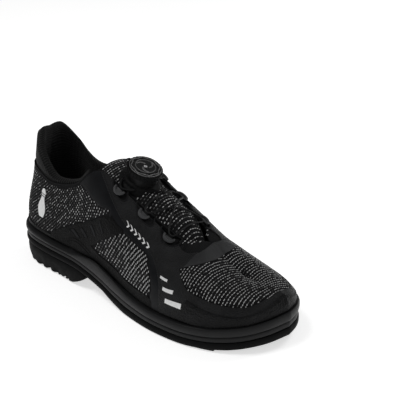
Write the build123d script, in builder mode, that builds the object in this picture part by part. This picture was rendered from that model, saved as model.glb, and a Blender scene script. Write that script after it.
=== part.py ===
"""Right bowling shoe with a dial-tightened cable lace, as separate pieces.

Millimetres. +X points to the toe, -Y is the outer (lateral) side, +Z is up, and the shoe
stands on Z = 0. The upper is one smooth wall, described by a few stations round the foot:
station 0 is the centre of the heel, 15 is the toe tip, positive numbers run along the
lateral side and negative ones along the medial side. At each station the wall is a curve
in an upright plane, from its foot on the sole up to its rim at the collar, the throat or
the ridge of the toe, and every panel of the upper is lofted through such curves.
"""
import os
from math import atan2, ceil, cos, degrees, floor, radians, sin, sqrt, tan
from build123d import *

# ---- driving dimensions of the sole -------------------------------------------------
WELT = 4.0            # how far the sole stands out beyond the foot of the upper
RIM_SHARE = 0.40      # share of the sole's height taken by the upper sidewall band
BAND_SHARE = 0.26     # share taken by the thin middle band
BOND = 0.15           # glue line between pieces that are bonded together
BREAST_X = -43.0      # front face of the heel, at its top
BREAST_LEAN = 23.0    # how much further back it is at the ground
SHANK_INSET = 9.0     # shank plate under the waist
SHANK_THICK = 1.8
BADGE_X = -24.0       # centre of the plain badge on the shank
BADGE_Y = -6.0
BADGE_SIDE = 22.0
BADGE_CORNER = 1.5
BADGE_PLATE = 1.0
BADGE_CROSS = 0.5     # height and width of the bars crossing on it
BADGE_BAR = 1.6
BADGE_GAP = 0.6       # between the curved shank plate and the flat badge
UNDER_GAP = 0.3       # between the outsole and the pieces fixed under it
BOARD = 2.05          # insole board
FOOTBED = 4.0         # removable footbed
PAD_REAR_X = 2.0      # rear edge of the traction pad
PAD_FRONT_X = 112.0
SOLE_REACH = 155.0    # half the length, and then height and half width, of the block a layer is cut from
SOLE_HIGH = 60.0
SOLE_WIDE = 90.0

# height of the line where the upper meets the sole, and of the sole's underside, along X
TOP_LINE = [(-150, 38), (-110, 37), (-60, 34.5), (-20, 27.5), (20, 21.5), (60, 19.5),
            (100, 20.5), (130, 25), (150, 30)]
UNDER_LINE = [(-150, 20.5), (-110, 20), (-60, 17.8), (-20, 10.6), (12, 3.2), (40, 2.6), (85, 2.6),
              (120, 4.2), (150, 9)]

# ---- driving dimensions of the upper ------------------------------------------------
KNIT = 1.6            # knitted shell
OVERLAY = 0.9         # synthetic overlays on the shell
FILM = 0.3            # printed film trim on the overlays
COLLAR_PAD = 6.0      # foam collar inside the shell
GAP = 0.25            # between the shell and what is stitched on it
FILM_GLUE = 0.15      # under the printed films
SEAM = 0.012          # half the seam between two panels, in stations
RIDGE_SEAM = 0.004    # half the vamp's seam along the ridge of the toe, in levels
WALL_LEAN = 7.0       # outward lean of the wall at its foot, degrees
TAB_LEAN = 13.0       # forward lean of the heel tab above the collar, degrees

# stations: foot x, foot y, rim x, rim y, rim z, inward lean at the rim in degrees, fullness
LATERAL = [
    (-146, 0, -137, 0, 97, 4, 0.36),
    (-139.5, -19, -131.5, -16, 97, 5, 0.36),
    (-123.5, -31.5, -116.5, -26.5, 95.5, 7, 0.36),
    (-95, -36.5, -93, -31, 89.5, 10, 0.36),
    (-60, -38, -63, -30, 96, 14, 0.36),
    (-35.5, -40, -47, -28, 110.5, 24, 0.36),
    (-19.5, -42.5, -34, -24, 115, 34, 0.38),
    (1, -46, -17, -22.5, 105, 50, 0.40),
    (21, -50, 2, -22, 95, 56, 0.42),
    (41.5, -53.5, 24, -21.5, 82.5, 60, 0.44),
    (61, -54.5, 44, -18, 71, 66, 0.46),
    (84.5, -53, 62, 4.8, 65.5, 90, 0.48),
    (108.5, -46, 76, 4.5, 57.5, 90, 0.48),
    (127.5, -34, 88, 4.2, 51.5, 90, 0.48),
    (140, -18, 97, 4.1, 47, 90, 0.48),
    (146, 3, 103, 4, 45, 90, 0.48),
]
MEDIAL = [
    LATERAL[0],
    (-139.5, 19, -131.5, 16, 97, 5, 0.36),
    (-123.5, 31, -116.5, 26, 95.5, 7, 0.36),
    (-95, 34, -93, 28, 89.5, 10, 0.36),
    (-60, 31, -62, 25, 95, 14, 0.36),
    (-36, 31.5, -43, 24, 108, 24, 0.36),
    (-19.5, 34, -29, 23, 111, 34, 0.38),
    (1, 37, -12, 22.5, 101.5, 50, 0.38),
    (21, 42.5, 2, 22, 93, 56, 0.38),
    (41.5, 48, 24, 21.5, 81, 60, 0.32),
    (61, 51.5, 44, 19, 70, 66, 0.28),
    (84.5, 54, 62, 4.8, 65.5, 90, 0.24),
    (111, 46.5, 76, 4.5, 57.5, 90, 0.25),
    (130.5, 34.5, 88, 4.2, 51.5, 90, 0.27),
    (142, 18.5, 97, 4.1, 47, 90, 0.34),
    LATERAL[15],
]
THROAT_END = 11       # station where the throat closes and the toe ridge begins
TOE = 15              # station of the toe tip
STEP = 0.25           # spacing of the sections that every panel is built on
HEEL_TAB = [31, 30.5, 15.5, 5, 2.5, 2, 2]   # height of the collar roll above the rim, stations 0 to 6
COLLAR_END = 5.0      # station where the collar padding stops
COLLAR_LOW = 0.5      # level of its lower edge
COLLAR_GAP = 0.5      # between the padding and the shell
COLLAR_THIN = 3.5     # station where the padding starts to thin out, down to this share at its end
COLLAR_SHARE = 0.65

# overlays stitched on the shell: station, level of the lower edge, level of the upper edge
EYESTAY = [(6.0, 0.90, 0.985), (6.4, 0.84, 0.985), (6.8, 0.78, 0.985), (7.5, 0.70, 0.985),
           (8.9, 0.65, 0.985), (9.5, 0.62, 0.985), (10.9, 0.61, 0.985)]
SIDE_STRAP = [(3.2, 0.02, 0.17), (3.65, 0.02, 0.34), (4.05, 0.02, 0.45), (4.6, 0.02, 0.49),
              (5.0, 0.20, 0.515), (5.5, 0.28, 0.545), (6.25, 0.39, 0.60), (7.2, 0.57, 0.66)]
FOXING = [(5.0, 0.02, 0.13), (7.0, 0.02, 0.12), (9.25, 0.02, 0.115)]
FOREPART = [(9.32, 0.02, 0.60), (10.9, 0.02, 0.59)]
TOE_BORDER = [(11.1, 0.25, 0.31), (11.6, 0.19, 0.29), (12.3, 0.15, 0.26), (12.9, 0.13, 0.24),
              (13.7, 0.17, 0.28), (14.4, 0.24, 0.37), (15.0, 0.35, 0.42)]
TOE_GUARD = [(11.1, 0.02, 0.24), (11.6, 0.02, 0.18), (12.3, 0.02, 0.14), (12.9, 0.02, 0.12),
             (13.7, 0.02, 0.16), (14.4, 0.02, 0.23), (15.0, 0.02, 0.34)]
BRIDGE = [(11.02, 0.62, 0.99), (11.4, 0.74, 0.99), (12.0, 0.90, 0.99)]
HEEL_TRIM = [(0.0, 0.02, 0.08), (3.1, 0.02, 0.08)]
BACKSTAY = [(0.0, 0.10, 0.97), (0.4, 0.10, 0.97)]
# printed bars on the forepart: first station, last station, lower level, upper level
ACCENT_BARS = [(10.08, 10.80, 0.13, 0.185), (9.93, 10.42, 0.28, 0.325), (9.75, 10.10, 0.425, 0.46)]

# ---- driving dimensions of the tongue and the dial ----------------------------------
TONGUE = [  # x, height of the crown, height of the edges, half width
    (-46, 113.0, 109.0, 20.0), (-30, 110.0, 106.5, 20.0), (-12, 105.0, 98.5, 20.0),
    (12, 97.0, 87.0, 19.5), (36, 83.5, 75.0, 17.5), (47, 72.0, 66.5, 12.5),
    (57, 61.0, 58.5, 8.0),
]
TONGUE_THICK = 3.0
TONGUE_LINING = 1.5
LINING_TRIM = 1.0     # how far the lining stops short of the tongue's edges
LINING_GLUE = 0.6     # between the tongue and its lining, which arch a little differently
DIAL_TILT = 20.0      # forward tilt of the dial's axis
DIAL_SEAT = (-11.0, 0.0, 105.6)
KNOB_R = 15.0
BASE_R = 17.5         # flange of the dial's base, with a nose where the cable leaves
BASE_NOSE = 19.0
NOSE_R = 3.5
BASE_DEPTH = 7.0      # how far the base reaches down round the tongue
SHAFT_SEAT = 1.8      # depth of the blind hole that the shaft turns in
BASE_TOP = 1.6        # heights along the dial's axis, from its seat on the tongue
HOUSING_TOP = 7.6
KNOB_LOW = 8.2
KNOB_TOP = 14.0
HOUSING_R = 14.0
TEETH_R = 12.4        # ring of ratchet teeth inside the housing
TOOTH_COUNT = 36
TOOTH_R = 0.8
SPOOL_R = 10.0
SPOOL_GROOVE = 2.5    # depth of the groove that the cable winds into
SPOOL_FLANGE = 0.9
ANCHOR_R = 0.8        # holes that hold the cable's ends
COLLAR_R = 3.9        # collar on the shaft between the spool and the knob
CAP_R = 10.5
CAP_DEPTH = 0.8
CAP_RISE = 0.3
SCREW_R = 1.7
KNOB_RIM = 3.0        # thickness of the knob's rim, and of its top below the cap
KNOB_ROOF = 2.2
KNOB_HUB = 2.5        # thickness of its hub round the shaft
GRIP_THICK = 1.0
GRIP_NOTCH = 0.55
GRIP_NOTCHES = 30
GRIP_LOW = 0.4        # from the knob's lower edge up to the grip
GRIP_HEIGHT = 4.2
GUIDE_STATIONS = [7.1, 8.5, 9.75]   # half-round guides, open towards the tongue
GUIDE_LEVEL = 0.975
GUIDE_PAD = 0.3       # from the eyestay to the guide
GUIDE_R = 6.0
GUIDE_BAND = 2.2
GUIDE_MOUTH = 0.8     # how far the half round reaches past its centre
CABLE_TURN = 3.0      # half the length of the cable's run through a guide
GUIDE_THICK = 2.0
LACE_R = 0.6          # steel cable in the guides
LACE_MOUTH = 1.4      # how far outside the guides' mouths the cable passes
LACE_CLEAR = 2.4      # between a strand and the tongue, and for the strand that crosses over another
CROSSING_CLEAR = 4.4
NOSE_LACE = (23.0, 2.9, 1.0)   # where a strand leaves the nose: forward, to the side, up
STAY_REACH = 1.2      # from the base's flange to the ends of the stays, and their angles on it
STAY_HEIGHT = 0.4
STAY_ANGLES = (122, 66)
SHAFT_R = 2.5
RUNNING = 0.05        # running clearance round the dial's shaft


def smooth(rows, position):
    """Value of a row of numbers at a fractional index, on a curve through every row."""
    index = min(int(position), len(rows) - 2)
    part = position - index
    last = len(rows) - 1
    before, here, there, after = (rows[min(max(index + k, 0), last)] for k in (-1, 0, 1, 2))
    values = []
    for a, b, c, d in zip(before, here, there, after):
        bend = 2 * a - 5 * b + 4 * c - d
        twist = 3 * (b - c) + d - a
        values.append(b + 0.5 * part * (c - a + part * (bend + part * twist)))
    return values


def height_on(line, x):
    """Height of a side-view line at x, by straight pieces with eased corners."""
    x = min(max(x, line[0][0]), line[-1][0])
    for index in range(len(line) - 1):
        (x0, _), (x1, _) = line[index], line[index + 1]
        if x <= x1:
            return smooth(line, index + (x - x0) / (x1 - x0))[1]
    return line[-1][1]


def sole_height(x, share):
    """Height of the level that lies a share of the way down from the top line."""
    top = height_on(TOP_LINE, x)
    return top - share * (top - height_on(UNDER_LINE, x))


class Wall:
    """The upper's outer surface at one station: a curve in an upright plane."""

    def __init__(self, station):
        rows = LATERAL if station >= 0 else MEDIAL
        foot_x, foot_y, rim_x, rim_y, rim_z, crown, fullness = smooth(rows, abs(station))
        reach = sqrt((foot_x - rim_x) ** 2 + (foot_y - rim_y) ** 2)
        self.foot = (reach, height_on(TOP_LINE, foot_x) + BOND)
        self.rim = (0.0, rim_z)
        outward = Vector(foot_x - rim_x, foot_y - rim_y, 0) / reach
        self.plane = Plane(origin=(rim_x, rim_y, 0), x_dir=outward, z_dir=(outward.Y, -outward.X, 0))
        self.crown = radians(min(crown, 90))
        length = sqrt(reach ** 2 + (rim_z - self.foot[1]) ** 2)
        lean = radians(WALL_LEAN)
        handle = fullness * length
        self.foot_handle = (reach + handle * sin(lean), self.foot[1] + handle * cos(lean))
        self.rim_handle = (handle * sin(self.crown), rim_z - handle * cos(self.crown))

    def point(self, level, off=0.0, rise=0.0, lean=0.0):
        """Point at a level from 0 (foot) to 1 (rim), moved out by off.

        rise goes on above the rim, in a straight line that leans inwards by so many degrees."""
        t = level
        a, b, c, d = (1 - t) ** 3, 3 * (1 - t) ** 2 * t, 3 * (1 - t) * t * t, t ** 3
        corners = (self.foot, self.foot_handle, self.rim_handle, self.rim)
        x, z = (a * p + b * q + c * r + d * s for p, q, r, s in zip(*corners))
        a, b, c = 3 * (1 - t) ** 2, 6 * (1 - t) * t, 3 * t * t
        steps = [(q[0] - p[0], q[1] - p[1]) for p, q in zip(corners, corners[1:])]
        dx, dz = (a * p + b * q + c * r for p, q, r in zip(*steps))
        if rise:
            dx, dz = -sin(radians(lean)), cos(radians(lean))
        size = sqrt(dx * dx + dz * dz)
        dx, dz = dx / size, dz / size
        return (x + dx * rise + dz * off, z + dz * rise - dx * off)


def stations(start, end, steps):
    return [start + (end - start) * k / steps for k in range(steps + 1)]


def grid_run(start, end):
    """Stations from start to end by way of a common grid, so that neighbours keep their gap."""
    low, high = min(start, end), max(start, end)
    grid = [k * STEP for k in range(ceil(low / STEP), floor(high / STEP) + 1)]
    run = [low] + [station for station in grid if low + 0.05 < station < high - 0.05] + [high]
    return run if start < end else run[::-1]


def wall_at(station):
    """Stations past the toe tip carry on along the other side."""
    if station > TOE:
        station -= 2 * TOE
    return Wall(station)


def edges_at(edges, station):
    """Lower and upper level of an overlay at a station, from its rows of edges."""
    away = abs(station) if station <= TOE else 2 * TOE - station
    for (start, *first), (end, *last) in zip(edges, edges[1:]):
        if away <= end:
            share = (away - start) / (end - start)
            return [a + (b - a) * share for a, b in zip(first, last)]
    return edges[-1][1:]


def panel(runs, outer, inner, edges, points=7):
    """A shell between two offsets of the wall, lofted along each run of stations."""
    with BuildPart() as shell:
        for run in runs:
            for station in run:
                low, high = edges_at(edges, station)
                wall = wall_at(station)
                rise = [low + (high - low) * k / (points - 1) for k in range(points)]
                up = [wall.point(level, outer) for level in rise]
                down = [wall.point(level, inner) for level in reversed(rise)]
                with BuildSketch(wall.plane):
                    with BuildLine():
                        Spline(*up)
                        Line(up[-1], down[0])
                        Spline(*down)
                        Line(down[-1], up[0])
                    make_face()
            loft(ruled=True)
    return shell.part


def overlay(edges, side=1):
    """An overlay stitched on one side of the shell."""
    return panel([grid_run(side * edges[0][0], side * edges[-1][0])], GAP + OVERLAY, GAP, edges)


def save(part, name):
    part.label = name
    export_step(part, f"parts/{name}.step")


def outline(inset):
    """Plan outline of the sole, moved in by inset, as points for a closed spline."""
    loop = [row[:2] for row in LATERAL] + [row[:2] for row in MEDIAL[-2:0:-1]]
    points = []
    for index, (x, y) in enumerate(loop):
        (x0, y0), (x1, y1) = loop[index - 1], loop[(index + 1) % len(loop)]
        size = sqrt((x1 - x0) ** 2 + (y1 - y0) ** 2)
        out = WELT - inset
        points.append((x + (y0 - y1) / size * -out, y + (x1 - x0) / size * -out))
    return points


def sole_layer(inset, top, bottom, start=-SOLE_REACH, end=SOLE_REACH, slices=14, lean=0.0):
    """A layer of the sole between two heights along X, cut to the sole's outline.

    lean moves the lower edge of its front face back."""
    upper = [(x, top(x)) for x in stations(start, end, slices)]
    lower_steps = stations(start, end - lean, slices)
    lower = [(x, bottom(x)) for x in reversed(lower_steps)]
    with BuildPart() as layer:
        with BuildSketch(Plane.XY):
            with BuildLine():
                Spline(*outline(inset), periodic=True)
            make_face()
        extrude(amount=SOLE_HIGH)
        with BuildSketch(Plane.XZ):
            with BuildLine():
                Spline(*upper)
                Line(upper[-1], lower[0])
                Spline(*lower)
                Line(lower[-1], upper[0])
            make_face()
        extrude(amount=SOLE_WIDE, both=True, mode=Mode.INTERSECT)
    return layer.part


def at_share(share, drop=0.0):
    return lambda x: sole_height(x, share) - drop


def level_at(height):
    return lambda x: height


os.makedirs("parts", exist_ok=True)

# ---- sole ---------------------------------------------------------------------------
band_top = RIM_SHARE
band_bottom = RIM_SHARE + BAND_SHARE
save(sole_layer(0.0, at_share(0), at_share(band_top)), "midsole_rim")
save(sole_layer(0.8, at_share(band_top, BOND), at_share(band_bottom)), "midsole_band")
save(sole_layer(0.4, at_share(band_bottom, BOND), at_share(1)), "outsole")
pad = sole_layer(1.0, at_share(1, UNDER_GAP), level_at(0), start=PAD_REAR_X, end=PAD_FRONT_X, slices=8)
save(pad, "traction_pad")
heel = sole_layer(1.5, at_share(1, UNDER_GAP), level_at(0), end=BREAST_X, slices=8, lean=BREAST_LEAN)
save(heel, "heel_block")

# shank plate under the waist, with a plain square badge below it
shank_top = at_share(1, UNDER_GAP)
shank_bottom = at_share(1, UNDER_GAP + SHANK_THICK)
shank_ends = {"start": BREAST_X + 1, "end": PAD_REAR_X - 1}
save(sole_layer(SHANK_INSET, shank_top, shank_bottom, slices=6, **shank_ends), "shank_plate")

badge_slope = degrees(atan2(sole_height(BADGE_X + 5, 1) - sole_height(BADGE_X - 5, 1), 10))
badge_plane = Plane(
    origin=(BADGE_X, BADGE_Y, sole_height(BADGE_X, 1) - UNDER_GAP - BADGE_GAP - SHANK_THICK),
    x_dir=(cos(radians(badge_slope)), 0, sin(radians(badge_slope))),
    z_dir=(sin(radians(badge_slope)), 0, -cos(radians(badge_slope))),
)
with BuildPart() as badge:
    with BuildSketch(badge_plane):
        RectangleRounded(BADGE_SIDE, BADGE_SIDE, BADGE_CORNER)
    extrude(amount=BADGE_PLATE)
    with BuildSketch(badge_plane.offset(BADGE_PLATE)):
        with PolarLocations(0, 4, start_angle=45):
            with Locations((BADGE_SIDE / 4, 0)):
                Rectangle(BADGE_SIDE / 3, BADGE_BAR)
    extrude(amount=BADGE_CROSS)
save(badge.part, "sole_badge")

# ---- inside the shoe ----------------------------------------------------------------
inner_edge = WELT + KNIT + 1.5


def above_line(rise):
    return lambda x: height_on(TOP_LINE, x) + rise


board_top = BOND + BOARD
save(sole_layer(inner_edge, above_line(board_top), above_line(BOND)), "insole_board")
footbed_low = board_top + 0.1
footbed = sole_layer(inner_edge + COLLAR_PAD, above_line(footbed_low + FOOTBED), above_line(footbed_low))
save(footbed, "footbed")

# ---- upper --------------------------------------------------------------------------
FULL_HEIGHT = [(0, 0, 1), (TOE, 0, 1)]
film_low = GAP + OVERLAY + FILM_GLUE
for side, name in ((1, "lateral"), (-1, "medial")):
    shell_run = [grid_run(side * SEAM, side * (THROAT_END - SEAM))]
    save(panel(shell_run, 0, -KNIT, FULL_HEIGHT), f"quarter_{name}")
    save(overlay(EYESTAY, side), f"eyestay_{name}")
    save(overlay(SIDE_STRAP, side), f"side_strap_{name}")
    save(overlay(FOXING, side), f"foxing_{name}")
    save(overlay(FOREPART, side), f"forepart_overlay_{name}")
    bars = []
    for start, end, low, high in ACCENT_BARS:
        run = [stations(side * start, side * end, 2)]
        edges = [(start, low, high), (end, low, high)]
        bars.append(panel(run, film_low + FILM, film_low, edges, points=4))
    save(Compound(children=bars), f"accent_bars_{name}")

# the vamp runs round the toe and closes in a seam along the ridge
vamp_edges = [(THROAT_END, 0, 1 - RIDGE_SEAM), (TOE, 0, 1 - RIDGE_SEAM)]
vamp_run = grid_run(THROAT_END, 2 * TOE - THROAT_END)
save(panel([vamp_run], 0, -KNIT, vamp_edges, points=15), "vamp")
bridge_end = BRIDGE[-1][0]
bridge_sides = [grid_run(BRIDGE[0][0], bridge_end), grid_run(-BRIDGE[0][0], -bridge_end)]
save(panel(bridge_sides, GAP + OVERLAY, GAP, BRIDGE), "vamp_bridge")
for name, edges in (("toe_border", TOE_BORDER), ("toe_guard", TOE_GUARD)):
    save(panel([grid_run(edges[0][0], 2 * TOE - edges[0][0])], GAP + OVERLAY, GAP, edges), name)
heel_run = grid_run(-HEEL_TRIM[-1][0], HEEL_TRIM[-1][0])
save(panel([heel_run], GAP + OVERLAY, GAP, HEEL_TRIM), "heel_trim")
backstay_run = grid_run(-BACKSTAY[-1][0], BACKSTAY[-1][0])
save(panel([backstay_run], GAP + OVERLAY, GAP, BACKSTAY), "backstay")

# ---- collar with the heel tab -------------------------------------------------------
collar_outer = -(KNIT + COLLAR_GAP)
with BuildPart() as collar:
    for station in stations(-COLLAR_END, COLLAR_END, 40):
        wall = wall_at(station)
        away = abs(station)
        thinning = max(0.0, away - COLLAR_THIN) / (COLLAR_END - COLLAR_THIN)
        thick = COLLAR_PAD * (1 - (1 - COLLAR_SHARE) * thinning)
        height = smooth([(h,) for h in HEEL_TAB], away)[0]
        own_lean = degrees(wall.crown)
        lean = own_lean + (TAB_LEAN - own_lean) * max(0.0, 1 - away / 2)
        steps = [(COLLAR_LOW + (1 - COLLAR_LOW) * k / 4, 0) for k in range(4)]
        steps += [(1, height * k) for k in (0.15, 0.6, 1.0)]
        outer_line = [wall.point(level, collar_outer, up, lean) for level, up in steps]
        inner_line = [wall.point(level, collar_outer - thick, up, lean) for level, up in reversed(steps)]
        apex = wall.point(1, collar_outer - thick / 2, height + thick * 0.4, lean)
        with BuildSketch(wall.plane):
            with BuildLine():
                Spline(*outer_line)
                ThreePointArc(outer_line[-1], apex, inner_line[0])
                Spline(*inner_line)
                Line(inner_line[-1], outer_line[0])
            make_face()
    loft(ruled=True)
save(collar.part, "collar_padding")

# ---- tongue -------------------------------------------------------------------------


def tongue_row(x):
    for index in range(len(TONGUE) - 1):
        start, end = TONGUE[index][0], TONGUE[index + 1][0]
        if x <= end:
            return smooth(TONGUE, index + (x - start) / (end - start))
    return list(TONGUE[-1])


def tongue_top(x, y):
    """Height of the tongue's upper surface."""
    _, crown, edge, half = tongue_row(x)
    return crown - (crown - edge) * (y / half) ** 2


def tongue_layer(top_drop, thick, trim):
    """An arched layer of the tongue, top_drop below its upper surface."""
    with BuildPart() as layer:
        for x in stations(TONGUE[0][0] + trim, TONGUE[-1][0] - trim, 8):
            _, crown, edge, half = tongue_row(x)
            half -= trim
            crown, edge = crown - top_drop, edge - top_drop
            low = edge - thick
            with BuildSketch(Plane(origin=(x, 0, 0), x_dir=(0, 1, 0), z_dir=(1, 0, 0))):
                with BuildLine():
                    ThreePointArc((-half, edge), (0, crown), (half, edge))
                    Line((half, edge), (half, low))
                    ThreePointArc((half, low), (0, crown - thick), (-half, low))
                    Line((-half, low), (-half, edge))
                make_face()
        loft()
    return layer.part


tongue = tongue_layer(0.0, TONGUE_THICK, 0.0)
save(tongue, "tongue")
save(tongue_layer(TONGUE_THICK + LINING_GLUE, TONGUE_LINING, LINING_TRIM), "tongue_lining")

# ---- dial ---------------------------------------------------------------------------
tilt = radians(DIAL_TILT)
dial_plane = Plane(origin=DIAL_SEAT, x_dir=(cos(tilt), 0, -sin(tilt)), z_dir=(sin(tilt), 0, cos(tilt)))

with BuildPart() as base:
    with BuildSketch(dial_plane.offset(-BASE_DEPTH)):
        Circle(BASE_R)
        with Locations((BASE_NOSE, 0)):
            Circle(NOSE_R)
        make_hull()
    extrude(amount=BASE_DEPTH + BASE_TOP)
    fillet(base.faces().filter_by(Axis(DIAL_SEAT, dial_plane.z_dir)).sort_by(Axis.Z)[-1].edges(), 0.8)
    with BuildSketch(dial_plane.offset(BASE_TOP - SHAFT_SEAT)):
        Circle(SHAFT_R + RUNNING)
    extrude(amount=SHAFT_SEAT, mode=Mode.SUBTRACT)
    add(tongue, mode=Mode.SUBTRACT)
    keep = base.solids().sort_by(SortBy.VOLUME)[-1]
save(keep, "dial_base")

with BuildPart() as housing:
    with BuildSketch(dial_plane.offset(BASE_TOP)):
        Circle(HOUSING_R)
        Circle(TEETH_R, mode=Mode.SUBTRACT)
        with PolarLocations(TEETH_R, TOOTH_COUNT):
            RegularPolygon(radius=TOOTH_R, side_count=3)
    extrude(amount=HOUSING_TOP - BASE_TOP)
save(housing.part, "dial_housing")

with BuildPart() as spool:
    spool_low, spool_high = BASE_TOP + 0.3, HOUSING_TOP - 0.6
    with BuildSketch(dial_plane.offset(spool_low)):
        Circle(SPOOL_R)
    extrude(amount=SPOOL_FLANGE)
    with BuildSketch(dial_plane.offset(spool_low)):
        Circle(SPOOL_R - SPOOL_GROOVE)
    extrude(amount=spool_high - spool_low)
    with BuildSketch(dial_plane.offset(spool_high - SPOOL_FLANGE)):
        Circle(SPOOL_R)
    extrude(amount=SPOOL_FLANGE)
    with BuildSketch(dial_plane.offset(spool_low)):
        Circle(SHAFT_R + RUNNING)
        with PolarLocations((SPOOL_R - SPOOL_GROOVE + COLLAR_R) / 2, 3):
            Circle(ANCHOR_R)
    extrude(amount=spool_high - spool_low, mode=Mode.SUBTRACT)
save(spool.part, "dial_spool")

with BuildPart() as shaft:
    shaft_low = BASE_TOP - SHAFT_SEAT + 0.1
    with BuildSketch(dial_plane.offset(shaft_low)):
        Circle(SHAFT_R)
    extrude(amount=KNOB_TOP - CAP_DEPTH - 0.3 - shaft_low)
    with BuildSketch(dial_plane.offset(HOUSING_TOP - 0.4)):
        Circle(COLLAR_R)
    extrude(amount=0.8)
save(shaft.part, "dial_shaft")

with BuildPart() as knob:
    with BuildSketch(dial_plane.offset(KNOB_LOW)):
        Circle(KNOB_R)
    extrude(amount=KNOB_TOP - KNOB_LOW, taper=4)
    fillet(knob.edges().sort_by(Axis(DIAL_SEAT, dial_plane.z_dir))[-1], 1.0)
    with BuildSketch(dial_plane.offset(KNOB_LOW)):
        Circle(KNOB_R - KNOB_RIM)
    extrude(amount=KNOB_TOP - KNOB_LOW - KNOB_ROOF, mode=Mode.SUBTRACT)
    with BuildSketch(dial_plane.offset(KNOB_LOW)):
        Circle(SHAFT_R + KNOB_HUB)
    extrude(amount=KNOB_TOP - KNOB_LOW - CAP_DEPTH)
    with BuildSketch(dial_plane.offset(KNOB_LOW)):
        Circle(SHAFT_R + RUNNING)
    extrude(amount=KNOB_TOP - KNOB_LOW + 1, mode=Mode.SUBTRACT)
    with BuildSketch(dial_plane.offset(KNOB_TOP - CAP_DEPTH)):
        Circle(CAP_R)
    extrude(amount=3, mode=Mode.SUBTRACT)
save(knob.part, "dial_knob")

with BuildPart() as grip:
    with BuildSketch(dial_plane.offset(KNOB_LOW + GRIP_LOW)):
        Circle(KNOB_R + GRIP_THICK)
        Circle(KNOB_R + 0.02, mode=Mode.SUBTRACT)
        with PolarLocations(KNOB_R + GRIP_THICK, GRIP_NOTCHES):
            Circle(GRIP_NOTCH, mode=Mode.SUBTRACT)
    extrude(amount=GRIP_HEIGHT)
save(grip.part, "dial_grip")

with BuildPart() as cap:
    with BuildSketch(dial_plane.offset(KNOB_TOP - CAP_DEPTH)):
        Circle(CAP_R - 0.05)
        Circle(SCREW_R + 0.05, mode=Mode.SUBTRACT)
    extrude(amount=CAP_DEPTH + CAP_RISE)
save(cap.part, "dial_cap")

with BuildPart() as screw:
    with BuildSketch(dial_plane.offset(KNOB_TOP - CAP_DEPTH + 0.05)):
        Circle(SCREW_R)
    extrude(amount=CAP_DEPTH + 0.1)
    with BuildSketch(dial_plane.offset(KNOB_TOP - 0.5)):
        RegularPolygon(radius=SCREW_R * 0.55, side_count=6)
    extrude(amount=2, mode=Mode.SUBTRACT)
save(screw.part, "dial_screw")

# ---- lace guides and the cable ------------------------------------------------------


def world(station, level, off):
    wall = wall_at(station)
    x, z = wall.point(level, off)
    return wall.plane.from_local_coords(Vector(x, z, 0))


def guide_plane(station, side, off):
    """Plane on the eyestay facing out: x runs along the throat, y up towards the rim."""
    here = world(side * station, GUIDE_LEVEL, off)
    ahead = world(side * (station + 0.2), GUIDE_LEVEL, off)
    behind = world(side * (station - 0.2), GUIDE_LEVEL, off)
    up = here - world(side * station, GUIDE_LEVEL - 0.04, off)
    along, up = (ahead - behind).normalized(), up.normalized()
    return Plane(origin=here, x_dir=along * side, z_dir=along.cross(up) * side)


guide_rest = GAP + OVERLAY + GUIDE_PAD
for side, name in ((1, "lateral"), (-1, "medial")):
    loops = []
    for station in GUIDE_STATIONS:
        with BuildPart() as loop:
            with BuildSketch(guide_plane(station, side, guide_rest)):
                Circle(GUIDE_R)
                Circle(GUIDE_R - GUIDE_BAND, mode=Mode.SUBTRACT)
                with Locations((0, GUIDE_R + GUIDE_MOUTH)):
                    Rectangle(3 * GUIDE_R, 2 * GUIDE_R, mode=Mode.SUBTRACT)
            extrude(amount=GUIDE_THICK)
        loops.append(loop.part)
    save(Compound(children=loops), f"lace_guides_{name}")


def guide_point(index, side, forward):
    """Where the cable passes the mouth of a guide, at its rear (-1) or front (+1)."""
    plane = guide_plane(GUIDE_STATIONS[index], side, guide_rest)
    across = forward * side * CABLE_TURN
    return plane.from_local_coords(Vector(across, GUIDE_MOUTH + LACE_MOUTH, GUIDE_THICK / 2))


def over_tongue(start, end, lift, shares=(0.34, 0.66)):
    """Points of a strand that crosses the tongue, held clear of its upper surface."""
    points = []
    for share in shares:
        point = start + (end - start) * share
        points.append(Vector(point.X, point.Y, tongue_top(point.X, point.Y) + lift))
    return points


def cable(points):
    """Steel cable through the points, with arcs as large as its runs allow."""
    radii = []
    for before, here, there in zip(points, points[1:], points[2:]):
        turn = radians((here - before).get_angle(there - here))
        shorter = min((here - before).length, (there - here).length)
        radii.append(0.45 * shorter / tan(turn / 2))
    with BuildPart() as strand:
        with BuildLine() as route:
            FilletPolyline(*points, radius=radii)
        with BuildSketch(Plane(origin=route.line @ 0, z_dir=route.line % 0)):
            Circle(LACE_R)
        sweep(path=route.line)
    return strand.part


def base_edge(angle):
    """Point just outside the dial base's flange."""
    reach = BASE_R + STAY_REACH
    across = Vector(reach * cos(radians(angle)), reach * sin(radians(angle)), STAY_HEIGHT)
    return dial_plane.from_local_coords(across)


ahead, aside, above = NOSE_LACE
nose_exit = {side: dial_plane.from_local_coords(Vector(ahead, -side * aside, above)) for side in (1, -1)}
low_lift, high_lift = LACE_R + LACE_CLEAR, LACE_R + CROSSING_CLEAR
rear_lateral, front_lateral = guide_point(1, 1, -1), guide_point(1, 1, 1)
rear_medial, front_medial = guide_point(1, -1, -1), guide_point(1, -1, 1)
toe_lateral = (guide_point(2, 1, -1), guide_point(2, 1, 1))
toe_medial = (guide_point(2, -1, -1), guide_point(2, -1, 1))
lace_points = [nose_exit[1], *over_tongue(nose_exit[1], rear_lateral, low_lift, [0.5])]
lace_points += [rear_lateral, front_lateral]
lace_points += over_tongue(front_lateral, toe_medial[0], low_lift)
lace_points += toe_medial
lace_points += over_tongue(toe_medial[1], toe_lateral[1], low_lift)
lace_points += [toe_lateral[1], toe_lateral[0]]
lace_points += over_tongue(toe_lateral[0], front_medial, high_lift)
lace_points += [front_medial, rear_medial]
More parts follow.
